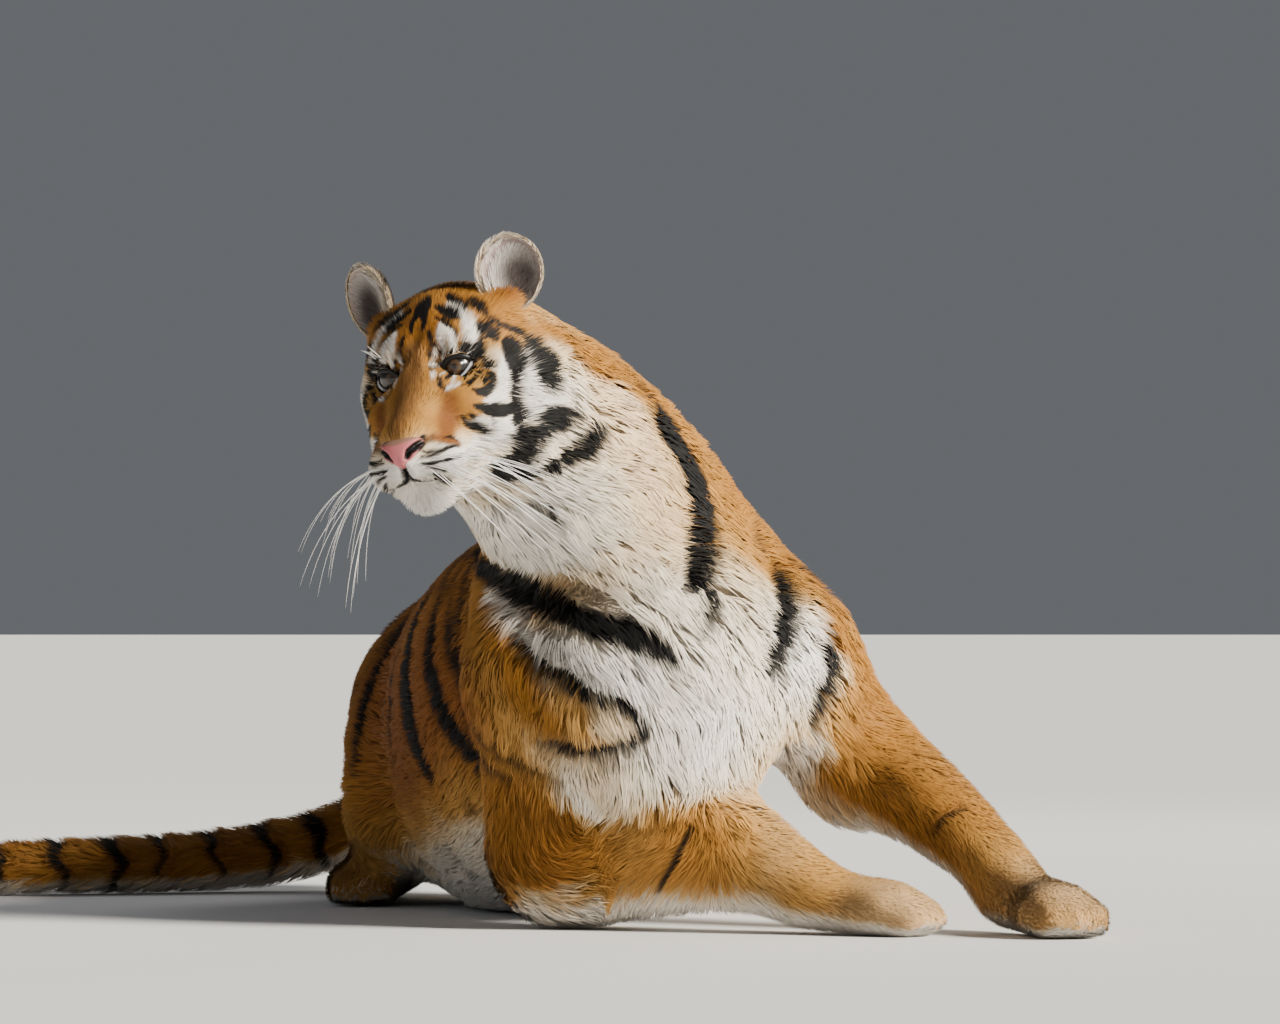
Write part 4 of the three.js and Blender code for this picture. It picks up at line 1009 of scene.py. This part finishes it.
# Lips, nostrils and the nose leather have no tufts.
def isBare(p):
    head = folded(intoHead(p))
    bare = lineGap(head, drawn["mouth"]) < 3.6
    bare |= reachOf(head, drawn["nostril"]) > 0
    bare |= (oval(head, (0, -106, -74), (33, 20, 21)) < 0) & (head[:, 2] < -61)
    return bare


# Each tuft leaves its root along the lie of the coat, and long ones lean to the tip of a near one.
def growTufts(root, normal, way, depth, length, width, tree):
    n = len(root)
    swing = np.radians(tuftPlan["swing"] + tuftPlan["swingMore"] * length)
    angle = swing * (0.6 * chance.standard_normal(n) + ripple(root, 26))
    across = np.cross(normal, way)
    way = unit(way * np.cos(angle)[:, None] + across * np.sin(angle)[:, None])
    length = length * (0.7 + 0.55 * chance.random(n))
    width = width * (0.75 + 0.5 * chance.random(n))
    reach = root + way * length[:, None]
    base = np.zeros_like(root)
    lift = np.zeros_like(root)
    for k in range(n):
        base[k], lift[k] = tree.find_nearest(reach[k])[:2]
    tip = base + lift * (depth * (0.84 + 0.22 * chance.random(n)))[:, None]
    tone = np.ones(n)
    long = np.nonzero(length > tuftPlan["clumpOver"])[0]
    lock = chance.random(n) < (width / tuftPlan["clump"]) ** 2 * 2.2
    seeds = np.nonzero((length > tuftPlan["clumpOver"]) & lock)[0]
    if len(seeds) > 3:
        near = KDTree(len(seeds))
        for k, seed in enumerate(seeds):
            near.insert(root[seed], k)
        near.balance()
        own = np.array([seeds[near.find(root[k])[1]] for k in long])
        pull = tuftPlan["pull"] * (0.5 + 0.8 * chance.random(len(long)))[:, None]
        raised = chance.random(n)[own]
        rise = normal[long] * ((raised - 0.5) * 0.3 * depth[long])[:, None]
        meet = tip[own] + (root[long] - root[own]) * 0.12 + rise
        tip[long] += (meet - tip[long]) * pull
        # Locks that stand higher are painted lighter and lower ones darker: painted light and shade across
        # the locks.
        tone[long] = 0.90 + 0.18 * raised
    middle = root * 0.55 + tip * 0.45 + normal * (depth * 0.36)[:, None]
    forward = unit(tip - root)
    side = unit(np.cross(normal, forward))
    roll = np.radians(tuftPlan["roll"]) * chance.standard_normal(n)
    up = unit(np.cross(forward, side))
    side, up = (side * np.cos(roll)[:, None] + up * np.sin(roll)[:, None],
                up * np.cos(roll)[:, None] - side * np.sin(roll)[:, None])
    low = (up * normal).sum(1) < 0
    up[low] *= -1
    flip = (np.cross(side, up) * forward).sum(1) > 0
    side[flip] *= -1
    return root - normal * tuftPlan["sunk"], middle, tip, side, up, width, length, tone


# A long tuft is a spindle of six triangles that bends in its middle, and a short one a blade of four.
# Each corner's colour is scaled by its shade: the root darker, partly darker underfur and partly painted
# shade down among the tufts, and the tip a little lighter.
spindle = {"faces": [[0, 1, 2], [0, 2, 3], [0, 3, 1], [4, 2, 1], [4, 3, 2], [4, 1, 3]],
           "patch": [(0, -0.5), (-0.5, 0), (0.5, 0), (0, 0.15), (0, 0.5)],
           "shade": [0.80, 0.95, 0.95, 0.97, 1.05], "tint": [0, 1, 1, 1, 2]}
blade = {"faces": [[0, 1, 2], [3, 1, 0], [3, 2, 1], [3, 0, 2]],
         "patch": [(-0.5, -0.5), (0.5, -0.5), (0, -0.2), (0, 0.5)], "shade": [0.84, 0.84, 0.88, 1.05],
         "tint": [0, 0, 0, 2]}


def tuftMesh(root, middle, tip, side, up, width, normal, colour, centre, fine):
    half = (side * width[:, None]) / 2
    rise = up * width[:, None]
    if fine:
        kind = blade
        parts = [root - half, root + half, root + rise * 0.45, tip]
        lean = [-0.4, 0.4, 0, 0]
    else:
        kind = spindle
        parts = [root, middle - half, middle + half, middle + rise * 0.3, tip]
        lean = [0, -0.6, 0.6, 0, 0]
    spots = np.stack(parts, 1)
    n, size = spots.shape[:2]
    faces = (np.array(kind["faces"])[None] + np.arange(n)[:, None, None] * size).reshape(-1, 3)
    tint = np.stack([colour[n] for n in kind["tint"]], 1) * np.array(kind["shade"])[None, :, None]
    flat = centre[:, None, :] + np.array(kind["patch"])[None] * tuftPlan["patch"]
    facing = unit(normal[:, None] * (1 - tuftPlan["own"]) + up[:, None] * tuftPlan["own"]
                  + side[:, None] * np.array(lean)[None, :, None] * tuftPlan["own"])
    return (spots.reshape(-1, 3), faces, tint.reshape(-1, 3), flat.reshape(-1, 2), facing.reshape(-1, 3))


# An unwrap of the skin's own shape: one spot of the flat for each corner of each face.
def unwrapped(spots, faces):
    mesh = bpy.data.meshes.new("flat")
    used, local = np.unique(faces, return_inverse=True)
    mesh.from_pydata(toRow(spots[used]).tolist(), [], local.reshape(-1, 3).tolist())
    flat = bpy.data.objects.new("flat", mesh)
    bpy.context.scene.collection.objects.link(flat)
    selectFaces(flat, np.ones(len(faces), bool))
    bpy.ops.uv.smart_project(angle_limit=math.radians(80), island_margin=0.004)
    bpy.ops.object.mode_set(mode="OBJECT")
    corners = np.zeros(len(faces) * 6)
    mesh.uv_layers.active.data.foreach_get("uv", corners)
    bpy.data.objects.remove(flat)
    return corners.reshape(-1, 3, 2)


def joinedMeshes(spots, faces):
    starts = np.cumsum([0] + [len(some) for some in spots[:-1]])
    return np.concatenate(spots), np.concatenate([some + start for some, start in zip(faces, starts)])


def tuftPiece(name, parts, material):
    spots, faces, tint, flat, facing = zip(*parts)
    spots, faces = joinedMeshes(spots, faces)
    tint, flat, facing = (np.concatenate(values) for values in (tint, flat, facing))
    spots = toRow(spots)
    spots[:, 2] = np.maximum(spots[:, 2], 0.0006)  # no tuft goes through the floor
    piece = meshPiece(name, spots, faces, material)
    piece.data.normals_split_custom_set_from_vertices(facing.tolist())
    storeColour(piece, "coatColour", tint)
    layer = piece.data.uv_layers.new(name="OFBake")
    layer.data.foreach_set("uv", flat[faces.ravel()].astype(np.float32).ravel())
    print("stage:", name, len(faces), "triangles")
    return len(faces)


def growCoat(name, faces, material):
    depth, length, width, lay = look
    fine = length < tuftPlan["fineUnder"]
    which, share = rootsOn(inner, faces, width * np.where(fine, tuftPlan["fineSpacing"], tuftPlan["spacing"]))
    nearLid = lidGap(folded(intoHead(mixed(inner, faces[which], share))))
    keep = ~isBare(mixed(outer, faces[which], share)) & (nearLid > 1.5)
    which, share = which[keep], share[keep]
    corner = faces[which]

    def mix(values):
        return mixed(values, corner, share)
    root, outside, normal, way = mix(inner), mix(outer), unit(mix(skinNormal)), unit(mix(lay))
    depth, length, width = mix(depth), mix(length), mix(width)
    head = folded(intoHead(outside))
    rim = np.minimum(lidGap(head), lineGap(head, drawn["mouth"]))
    length = length * (0.5 + 0.5 * ease(3, 12, rim))
    flat = unwrapped(inner, faces)
    centre = (flat[which] * share[:, :, None]).sum(1)
    marks = [blackAt(outside + way * (length * share)[:, None], normal) for share in (0.15, 0.5, 0.85)]
    into = np.clip(np.maximum(marks[1], marks[2]) - marks[0], 0, 1)
    leave = np.clip(marks[0] - marks[2], 0, 1)
    length = length * (1 - 0.72 * into - 0.3 * leave)
    root, middle, tip, side, up, width, length, tone = growTufts(
        root, normal, way, depth, length, width, skinTree)
    # Each tuft's colour is scaled by its lock's painted light and shade and by a random streak.
    streakAndLockShade = tone * (1 + 0.08 * chance.standard_normal(len(root)) + 0.07 * ripple(root, 13))
    streakAndLockShade = np.clip(streakAndLockShade, 0.6, 1.35)
    colour = [np.clip(colourAt(root * (1 - share) + tip * share, normal) * streakAndLockShade[:, None], 0.002, 0.95)
              for share in (0.3, 0.52, 0.8)]
    parts = []
    for fine in (False, True):
        mine = (length < tuftPlan["fineUnder"]) == fine
        if mine.any():
            parts.append(tuftMesh(root[mine], middle[mine], tip[mine], side[mine], up[mine], width[mine],
                                  normal[mine], [c[mine] for c in colour], centre[mine], fine))
    return tuftPiece(name, parts, material)


def eyeFinish():
    material = bpy.data.materials.new("wetEye")
    material.use_nodes = True
    nodes, links = material.node_tree.nodes, material.node_tree.links
    shader = nodes["Principled BSDF"]
    ring = nodes.new("ShaderNodeAttribute")
    ring.attribute_name = "fromPupil"
    noise = nodes.new("ShaderNodeTexNoise")
    noise.inputs["Scale"].default_value = 900
    place = nodes.new("ShaderNodeTexCoord")
    links.new(place.outputs["Object"], noise.inputs["Vector"])
    add = nodes.new("ShaderNodeMath")
    add.operation = "MULTIPLY_ADD"
    add.inputs[1].default_value = 0.05
    links.new(noise.outputs["Fac"], add.inputs[0])
    links.new(ring.outputs["Fac"], add.inputs[2])
    ramp = nodes.new("ShaderNodeValToRGB")
    pupil, iris = (eyeSizes[key] / eyeSizes["ball"] * 0.95 + 0.025 for key in ("pupil", "iris"))
    stops = [(0.0, (0.002, 0.002, 0.002)), (pupil - 0.02, (0.002, 0.002, 0.002)),
             (pupil + 0.02, (0.030, 0.014, 0.007)), (iris * 0.6, (0.060, 0.034, 0.017)),
             (iris - 0.07, (0.045, 0.026, 0.013)), (iris, (0.006, 0.005, 0.004)),
             (iris + 0.08, (0.004, 0.003, 0.003)), (iris + 0.2, (0.012, 0.009, 0.008))]
    while len(ramp.color_ramp.elements) < len(stops):
        ramp.color_ramp.elements.new(0.5)
    for element, (at, colour) in zip(ramp.color_ramp.elements, stops):
        element.position = at
        element.color = (*colour, 1)
    links.new(add.outputs[0], ramp.inputs["Fac"])
    links.new(ramp.outputs["Color"], shader.inputs["Base Color"])
    shader.inputs["Roughness"].default_value = 0.3
    shader.inputs["Specular IOR Level"].default_value = 0.2
    shader.inputs["Coat Weight"].default_value = 0.7
    shader.inputs["Coat Roughness"].default_value = 0.02
    return material


def makeEye(side, node, name, material):
    centre = outOfHead(np.array([eyeSizes["at"]]) * [side, 1, 1])[0]
    bpy.ops.object.select_all(action="DESELECT")
    bpy.ops.mesh.primitive_uv_sphere_add(segments=72, ring_count=48, radius=eyeSizes["ball"] / 1000,
                                         location=toRow(centre))
    ball = bpy.context.object
    bpy.ops.object.transform_apply(location=True, rotation=True, scale=True)
    ball.name = ball.data.name = name
    spots = meshOf(ball)[0]
    look = headTurn @ unit(np.array(eyeSizes["look"]))
    v = fromRow(spots) - centre
    way = unit(v)
    angle = np.arccos(np.clip(way @ look, -1, 1))
    bulge = 1.6 * ease(0.66, 0.2, angle)
    setSpots(ball, toRow(centre + way * (eyeSizes["ball"] + bulge)[:, None]))
    ring = ball.data.attributes.new("fromPupil", "FLOAT", "POINT")
    value = np.sin(np.minimum(angle, 1.5)) * eyeSizes["ball"] / 20
    ring.data.foreach_set("value", value.astype(np.float32))
    bpy.ops.object.shade_smooth()
    ball.data.materials.append(material)
    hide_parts(node)
    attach(ball, "root")


def tube(line, radii, sides=8):
    line, radii = np.asarray(line, float), np.asarray(radii, float)
    along = unit(np.gradient(line, axis=0))
    side = unit(np.cross(along, [0.13, 0.31, 0.94]))
    up = np.cross(along, side)
    angle = np.arange(sides) * 2 * np.pi / sides
    ring = (side[:, None] * np.cos(angle)[None, :, None] + up[:, None] * np.sin(angle)[None, :, None])
    spots = (line[:, None] + ring * radii[:, None, None]).reshape(-1, 3)
    faces = []
    for n in range(len(line) - 1):
        for k in range(sides):
            a, b = n * sides + k, n * sides + (k + 1) % sides
            faces += [(a, b, b + sides), (a, b + sides, a + sides)]
    first, last = len(spots), len(spots) + 1
    spots = np.concatenate([spots, line[:1], line[-1:]])
    end = (len(line) - 1) * sides
    for k in range(sides):
        faces += [(first, (k + 1) % sides, k), (last, end + k, end + (k + 1) % sides)]
    return spots, np.array(faces)


# Rows across a lid: how far out from its edge, and how high over the eyeball.
lidPlan = {"rows": ((0.2, -1.4), (-0.3, 0.4), (0.0, 1.3), (0.6, 2.3), (1.4, 3.0), (2.4, 3.6), (3.4, 3.9),
                    (4.6, 3.9), (5.6, 2.6), (6.2, -0.5), (5.0, -3.0), (2.0, -3.0)),
           "round": 96, "dark": (0.006, 0.005, 0.005), "wetGlint": (0.42, 0.42, 0.44)}


def makeLids():
    rows, n = lidPlan["rows"], lidPlan["round"]
    parts = []
    for side in (1, -1):
        forward, across, upward = eyeAxes(side)
        centre = np.array(eyeSizes["at"]) * [side, 1, 1]
        loop = lidLoop(n)
        for turn in range(4):
            loop = loop * 0.5 + (np.roll(loop, 1, 0) + np.roll(loop, -1, 0)) * 0.25
        along = unit(np.roll(loop, -1, 0) - np.roll(loop, 1, 0))
        out = np.stack([-along[:, 1], along[:, 0]], 1)
        spots, edge = [], []
        for far, high in rows:
            flat = loop + out * far
            angle = flat / eyeSizes["ball"]
            size = np.maximum(np.linalg.norm(angle, axis=1, keepdims=True), 1e-6)
            slant = angle / size * np.sin(size)
            way = slant[:, :1] * across + slant[:, 1:] * upward + np.cos(size) * forward
            spots.append(centre + way * (eyeSizes["ball"] + high))
            edge.append(np.full(n, far))
        spots = np.concatenate(spots)
        quads = []
        for row in range(len(rows)):
            for k in range(n):
                one, two = row * n + k, row * n + (k + 1) % n
                far = (row + 1) % len(rows) * n
                quads += [(one, two, far + (k + 1) % n), (one, far + (k + 1) % n, far + k)]
        faces = np.array(quads)
        if side < 0:
            faces = faces[:, ::-1]
        low = ease(0.1, -0.5, out[:, 1]) * ease(-16, -11, loop[:, 0]) * ease(21, 17, loop[:, 0])
        parts.append((spots, faces, np.concatenate(edge), np.tile(low, len(rows))))
    spots, faces, edge, low = zip(*parts)
    spots, faces = joinedMeshes(spots, faces)
    edge, low = np.concatenate(edge), np.concatenate(low)
    tiger = outOfHead(spots)
    normal = normalsOf(tiger, faces)
    colour = colourAt(tiger, normal)
    colour = laid(colour, lidPlan["dark"], ease(5.0, 4.0, edge))
    # A pale grey line just inside the edge of the lower lid: painted reflection of its wet rim.
    colour = laid(colour, lidPlan["wetGlint"], ease(-0.1, 0.5, edge) * ease(2.2, 1.4, edge) * low)
    lids = meshPiece("eyeLids", toRow(tiger), faces, coatFinish("lidSkin", 0.4, 0))
    storeColour(lids, "coatColour", colour)


nosePlan = {"at": (0, -102, -75), "radii": (29, 20, 19), "pink": (0.52, 0.15, 0.16),
            "dark": (0.008, 0.006, 0.006), "upper": (0.25, 0.14, 0.10)}


def makeNose():
    bpy.ops.object.select_all(action="DESELECT")
    bpy.ops.mesh.primitive_uv_sphere_add(segments=96, ring_count=64, radius=1)
    nose = bpy.context.object
    nose.name = nose.data.name = "noseLeather"
    spots = meshOf(nose)[0]
    x, y, z = spots.T
    narrow = 1 - 0.50 * ease(0.2, -1.0, z)
    flat = np.where(y < 0, -np.abs(y) ** 0.8, y)
    p = np.stack([x * narrow, flat, z], 1) * nosePlan["radii"]
    p[:, 2] += 4.0 * np.abs(x) ** 1.5
    p = p + nosePlan["at"]
    normal = unit(spots)
    hole = reachOf(folded(p), drawn["nostril"])
    deep = 8 * ease(-1.5, 4, hole) + 1.2 * np.exp(-(p[:, 0] / 1.2) ** 2) * ease(-74, -80, p[:, 2])
    p = p - normal * deep[:, None]
    setSpots(nose, toRow(outOfHead(p)))
    edge = ease(0.70, 1.0, np.abs(x) ** 2 + 0.25 * z ** 2)
    # The nostrils are painted black as painted shade inside their openings, and the edge of the leather is
    # black.
    colour = laid(np.array(nosePlan["pink"]), nosePlan["dark"], np.maximum(ease(-1.2, 0.6, hole), edge))
    colour = laid(colour, nosePlan["upper"], ease(-65, -61, p[:, 2] - 0.10 * np.abs(p[:, 0])))
    storeColour(nose, "coatColour", colour)
    bpy.ops.object.shade_smooth()
    material = coatFinish("noseLeather", 0.45, 0)
    nodes, links = material.node_tree.nodes, material.node_tree.links
    cells = nodes.new("ShaderNodeTexVoronoi")
    cells.inputs["Scale"].default_value = 900
    place = nodes.new("ShaderNodeTexCoord")
    links.new(place.outputs["Object"], cells.inputs["Vector"])
    bump = nodes.new("ShaderNodeBump")
    bump.inputs["Strength"].default_value = 0.35
    bump.inputs["Distance"].default_value = 0.0005
    links.new(cells.outputs["Distance"], bump.inputs["Height"])
    links.new(bump.outputs["Normal"], nodes["Principled BSDF"].inputs["Normal"])
    nose.data.materials.append(material)
    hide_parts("nose")
    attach(nose, "root")


# Each group of whiskers: first and last root, first and last direction, how many, length and droop.
whiskerPlan = {
    "front": ((34, -108, -86), (60, -78, -92), (0.90, -0.12, -0.02), (0.93, 0.20, -0.25), 7, 145, 0.5),
    "middle": ((32, -108, -94), (60, -76, -100), (0.84, -0.14, -0.30), (0.86, 0.18, -0.46), 7, 155, 0.5),
    "low": ((30, -106, -102), (56, -76, -108), (0.70, -0.16, -0.62), (0.74, 0.10, -0.68), 6, 135, 0.45),
    "rear": ((64, -60, -94), (70, -44, -104), (0.86, 0.05, -0.42), (0.80, 0.15, -0.58), 4, 120, 0.4),
    "brow": ((48, -2, 31), (60, 4, 28), (0.30, -0.45, 0.85), (0.65, -0.30, 0.75), 3, 38, 0.3),
}


def makeWhiskers():
    tubes = []
    for side in (1, -1):
        for name, (first, last, wayFirst, wayLast, count, length, droop) in whiskerPlan.items():
            for n in range(count):
                share = n / (count - 1)
                start = np.array(first) * (1 - share) + np.array(last) * share + chance.uniform(-2, 2, 3)
                way = np.array(wayFirst) * (1 - share) + np.array(wayLast) * share
                way = unit(way + chance.uniform(-0.10, 0.10, 3))
                reach = length * chance.uniform(0.65, 1.1)
                t = np.linspace(0, 1, 14)[:, None]
                fall = np.array([0, 0.6, -0.9]) * (reach * droop * t ** 2)
                line = start - way * 5 + way * (reach * t) + fall
                radius = (0.34 if name == "brow" else 0.55) * (1.02 - t[:, 0]) ** 0.6 + 0.06
                tubes.append(tube(outOfHead(line * [side, 1, 1]), radius, 5))
    spots, faces = joinedMeshes(*zip(*tubes))
    horn = plainFinish("whiskerHorn", (0.9, 0.88, 0.85), 0.3)
    meshPiece("whiskers", toRow(spots), faces, horn)


earPlan = {"base": (91, 96, 58), "up": (0.2, 0.2, 0.96), "out": (0.42, -0.89, 0), "lift": 23,
           "wide": 38, "tall": 46, "deep": 23, "cup": 9,
           "bare": (0.34, 0.26, 0.24), "hollow": (0.025, 0.014, 0.014), "hair": (0.66, 0.60, 0.55),
           "hollowHair": (0.03, 0.018, 0.018), "rimHair": (0.74, 0.62, 0.48)}


def makeEar(side):
    bpy.ops.object.select_all(action="DESELECT")
    bpy.ops.mesh.primitive_uv_sphere_add(segments=72, ring_count=48, radius=1)
    ear = bpy.context.object
    ear.name = ear.data.name = "leftEar" if side > 0 else "rightEar"
    ball, faces = meshOf(ear)
    x, y, z = ball.T
    s = np.abs(y)
    depth = np.where(y > 0, earPlan["deep"] * s, earPlan["deep"] * s - earPlan["cup"] * np.sqrt(s) - 0.6)
    narrow = 1 + 0.04 * z - 0.10 * np.maximum(0, -z) ** 1.5
    up = unit(np.array(earPlan["up"]))
    out = np.array(earPlan["out"])
    out = unit(out - (out @ up) * up)
    across = np.cross(up, out)
    local = np.stack([x * earPlan["wide"] * narrow, depth, z * earPlan["tall"]], 1)
    head = (local[:, :1] * across - local[:, 1:2] * out + local[:, 2:] * up
            + np.array(earPlan["base"]) + earPlan["lift"] * up) * [side, 1, 1]
    tiger = outOfHead(head)
    setSpots(ear, toRow(tiger))
    if side < 0:
        bpy.ops.object.mode_set(mode="EDIT")
        bpy.ops.mesh.select_all(action="SELECT")
        bpy.ops.mesh.flip_normals()
        bpy.ops.object.mode_set(mode="OBJECT")
        faces = faces[:, ::-1]
    inward = x * np.sign(across[0])  # above zero on the side away from the other ear
    front, hollow, rim, colour = earColours(ball, inward)
    storeColour(ear, "coatColour", colour)
    bpy.ops.object.shade_smooth()
    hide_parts("left_ear" if side > 0 else "right_ear")
    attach(ear, "root")
    axes = [headTurn @ (axis * [side, 1, 1]) for axis in (out, up, across)]
    normal = normalsOf(tiger, faces)
    lay = earLay(ball, inward, front, normal, axes, np.sign(across[0]))
    inner = ease(0.3, -0.6, inward)
    length = np.where(front, 11 + 14 * inner, 8.0)
    depth = np.where(front, 2.5 + 3.5 * inner, 2.0)
    width = np.where(front, 1.1, 1.4)
    # The hairs deep in the cup get the same painted shade.
    hair = laid(np.array(earPlan["hair"]), earPlan["hollowHair"], hollow * 0.93)
    hair = np.where(front[:, None], laid(hair, earPlan["rimHair"], rim), colour)
    return ear, (tiger, faces, normal, lay, depth, length, width, hair)


# The front of an ear is a hollow painted near black deep inside as painted shade, with a pale rim, and its
# back is black with a white spot.
def earColours(ball, inward):
    x, y, z = ball.T
    front = y < 0.02
    rim = ease(0.42, 0.15, np.abs(y))
    # Near black deep in the cup: painted shade.
    hollow = ease(0.85, 0.25, np.hypot(inward - 0.22, (z + 0.25) * 0.8))
    paleRim = np.array(coatColours["cream"]) * 0.9
    inside = laid(laid(np.array(earPlan["bare"]), earPlan["hollow"], hollow), paleRim, rim)
    spot = ease(0.5, 0.38, np.hypot(x, z + 0.05))
    behind = laid(np.array(coatColours["black"]), coatColours["white"], spot)
    behind = laid(behind, paleRim, ease(0.42, 0.2, np.abs(y)))
    return front, hollow, rim, np.where(front[:, None], inside, behind)


def earLay(ball, inward, front, normal, axes, hand):
    out, up, across = axes
    sweep = (0.75 * inward + 0.25)[:, None] * across * hand + 0.8 * up
    lay = np.where(front[:, None], sweep + 0.35 * out, up + ball[:, :1] * across * 0.3)
    lay = lay - (lay * normal).sum(1)[:, None] * normal
    return unit(lay + 1e-6)


def earCoat(name, parts, material):
    made = []
    for tiger, faces, normal, lay, depth, length, width, hair in parts:
        which, share = rootsOn(tiger, faces, width * 1.25)
        corner = faces[which]
        tree = BVHTree.FromPolygons(tiger.tolist(), faces.tolist())
        flat = unwrapped(tiger, faces)
        centre = (flat[which] * share[:, :, None]).sum(1)
        colour = mixed(hair, corner, share) * (1 + 0.13 * chance.standard_normal(len(which)))[:, None]
        spot, out, way, deep, long, wide = (mixed(v, corner, share)
                                            for v in (tiger, normal, lay, depth, length, width))
        out = unit(out)
        root, middle, tip, side, up, wide, *_ = growTufts(spot, out, unit(way), deep, long, wide, tree)
        colour = np.clip(colour, 0.002, 0.95)
        made.append(tuftMesh(root, middle, tip, side, up, wide, out, [colour] * 3, centre, True))
    tuftPiece(name, made, material)


setStage()
skin, outer, inner, skinFaces = makeSkin()
print("stage: skin made")
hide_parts(*[name for name in sorted(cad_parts) if name[-4:] not in ("_eye", "_ear", "nose")])
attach(skin, "root")
skinNormal = normalsOf(inner, skinFaces)
skinColour = colourAt(outer, skinNormal)
# The skin under the coat is a fifth darker than the coat: partly darker underfur and partly painted shade
# beneath the tufts.
storeColour(skin, "coatColour", skinColour * 0.8)
skin.data.polygons.foreach_set("use_smooth", np.ones(len(skin.data.polygons), bool))
skin.data.materials.append(coatFinish("underFurAndShade", 0.8, 0.1))
print("stage: markings painted")
furFinish = coatFinish("fur", 0.7, 0.02)
look = (*coatAt(outer)[:3], layAt(outer, skinNormal))
owners = pieceOfFaces(outer[skinFaces].mean(1))
skinTree = BVHTree.FromPolygons(inner.tolist(), skinFaces.tolist())
print("stage: coat laid out")
total = 0
for n, name in enumerate(coatPieces):
    total += growCoat(name, skinFaces[owners == n], furFinish)
print("stage: coat of", total, "triangles")
eyeLook = eyeFinish()
makeEye(1, "left_eye", "leftEye", eyeLook)
makeEye(-1, "right_eye", "rightEye", eyeLook)
makeLids()
makeNose()
makeWhiskers()
ears = [makeEar(1), makeEar(-1)]
earSkin = coatFinish("earSkin", 0.6, 0.0)
for ear, _ in ears:
    ear.data.materials.append(earSkin)
earCoat("coatEars", [parts for _, parts in ears], furFinish)
print("stage: head finished")
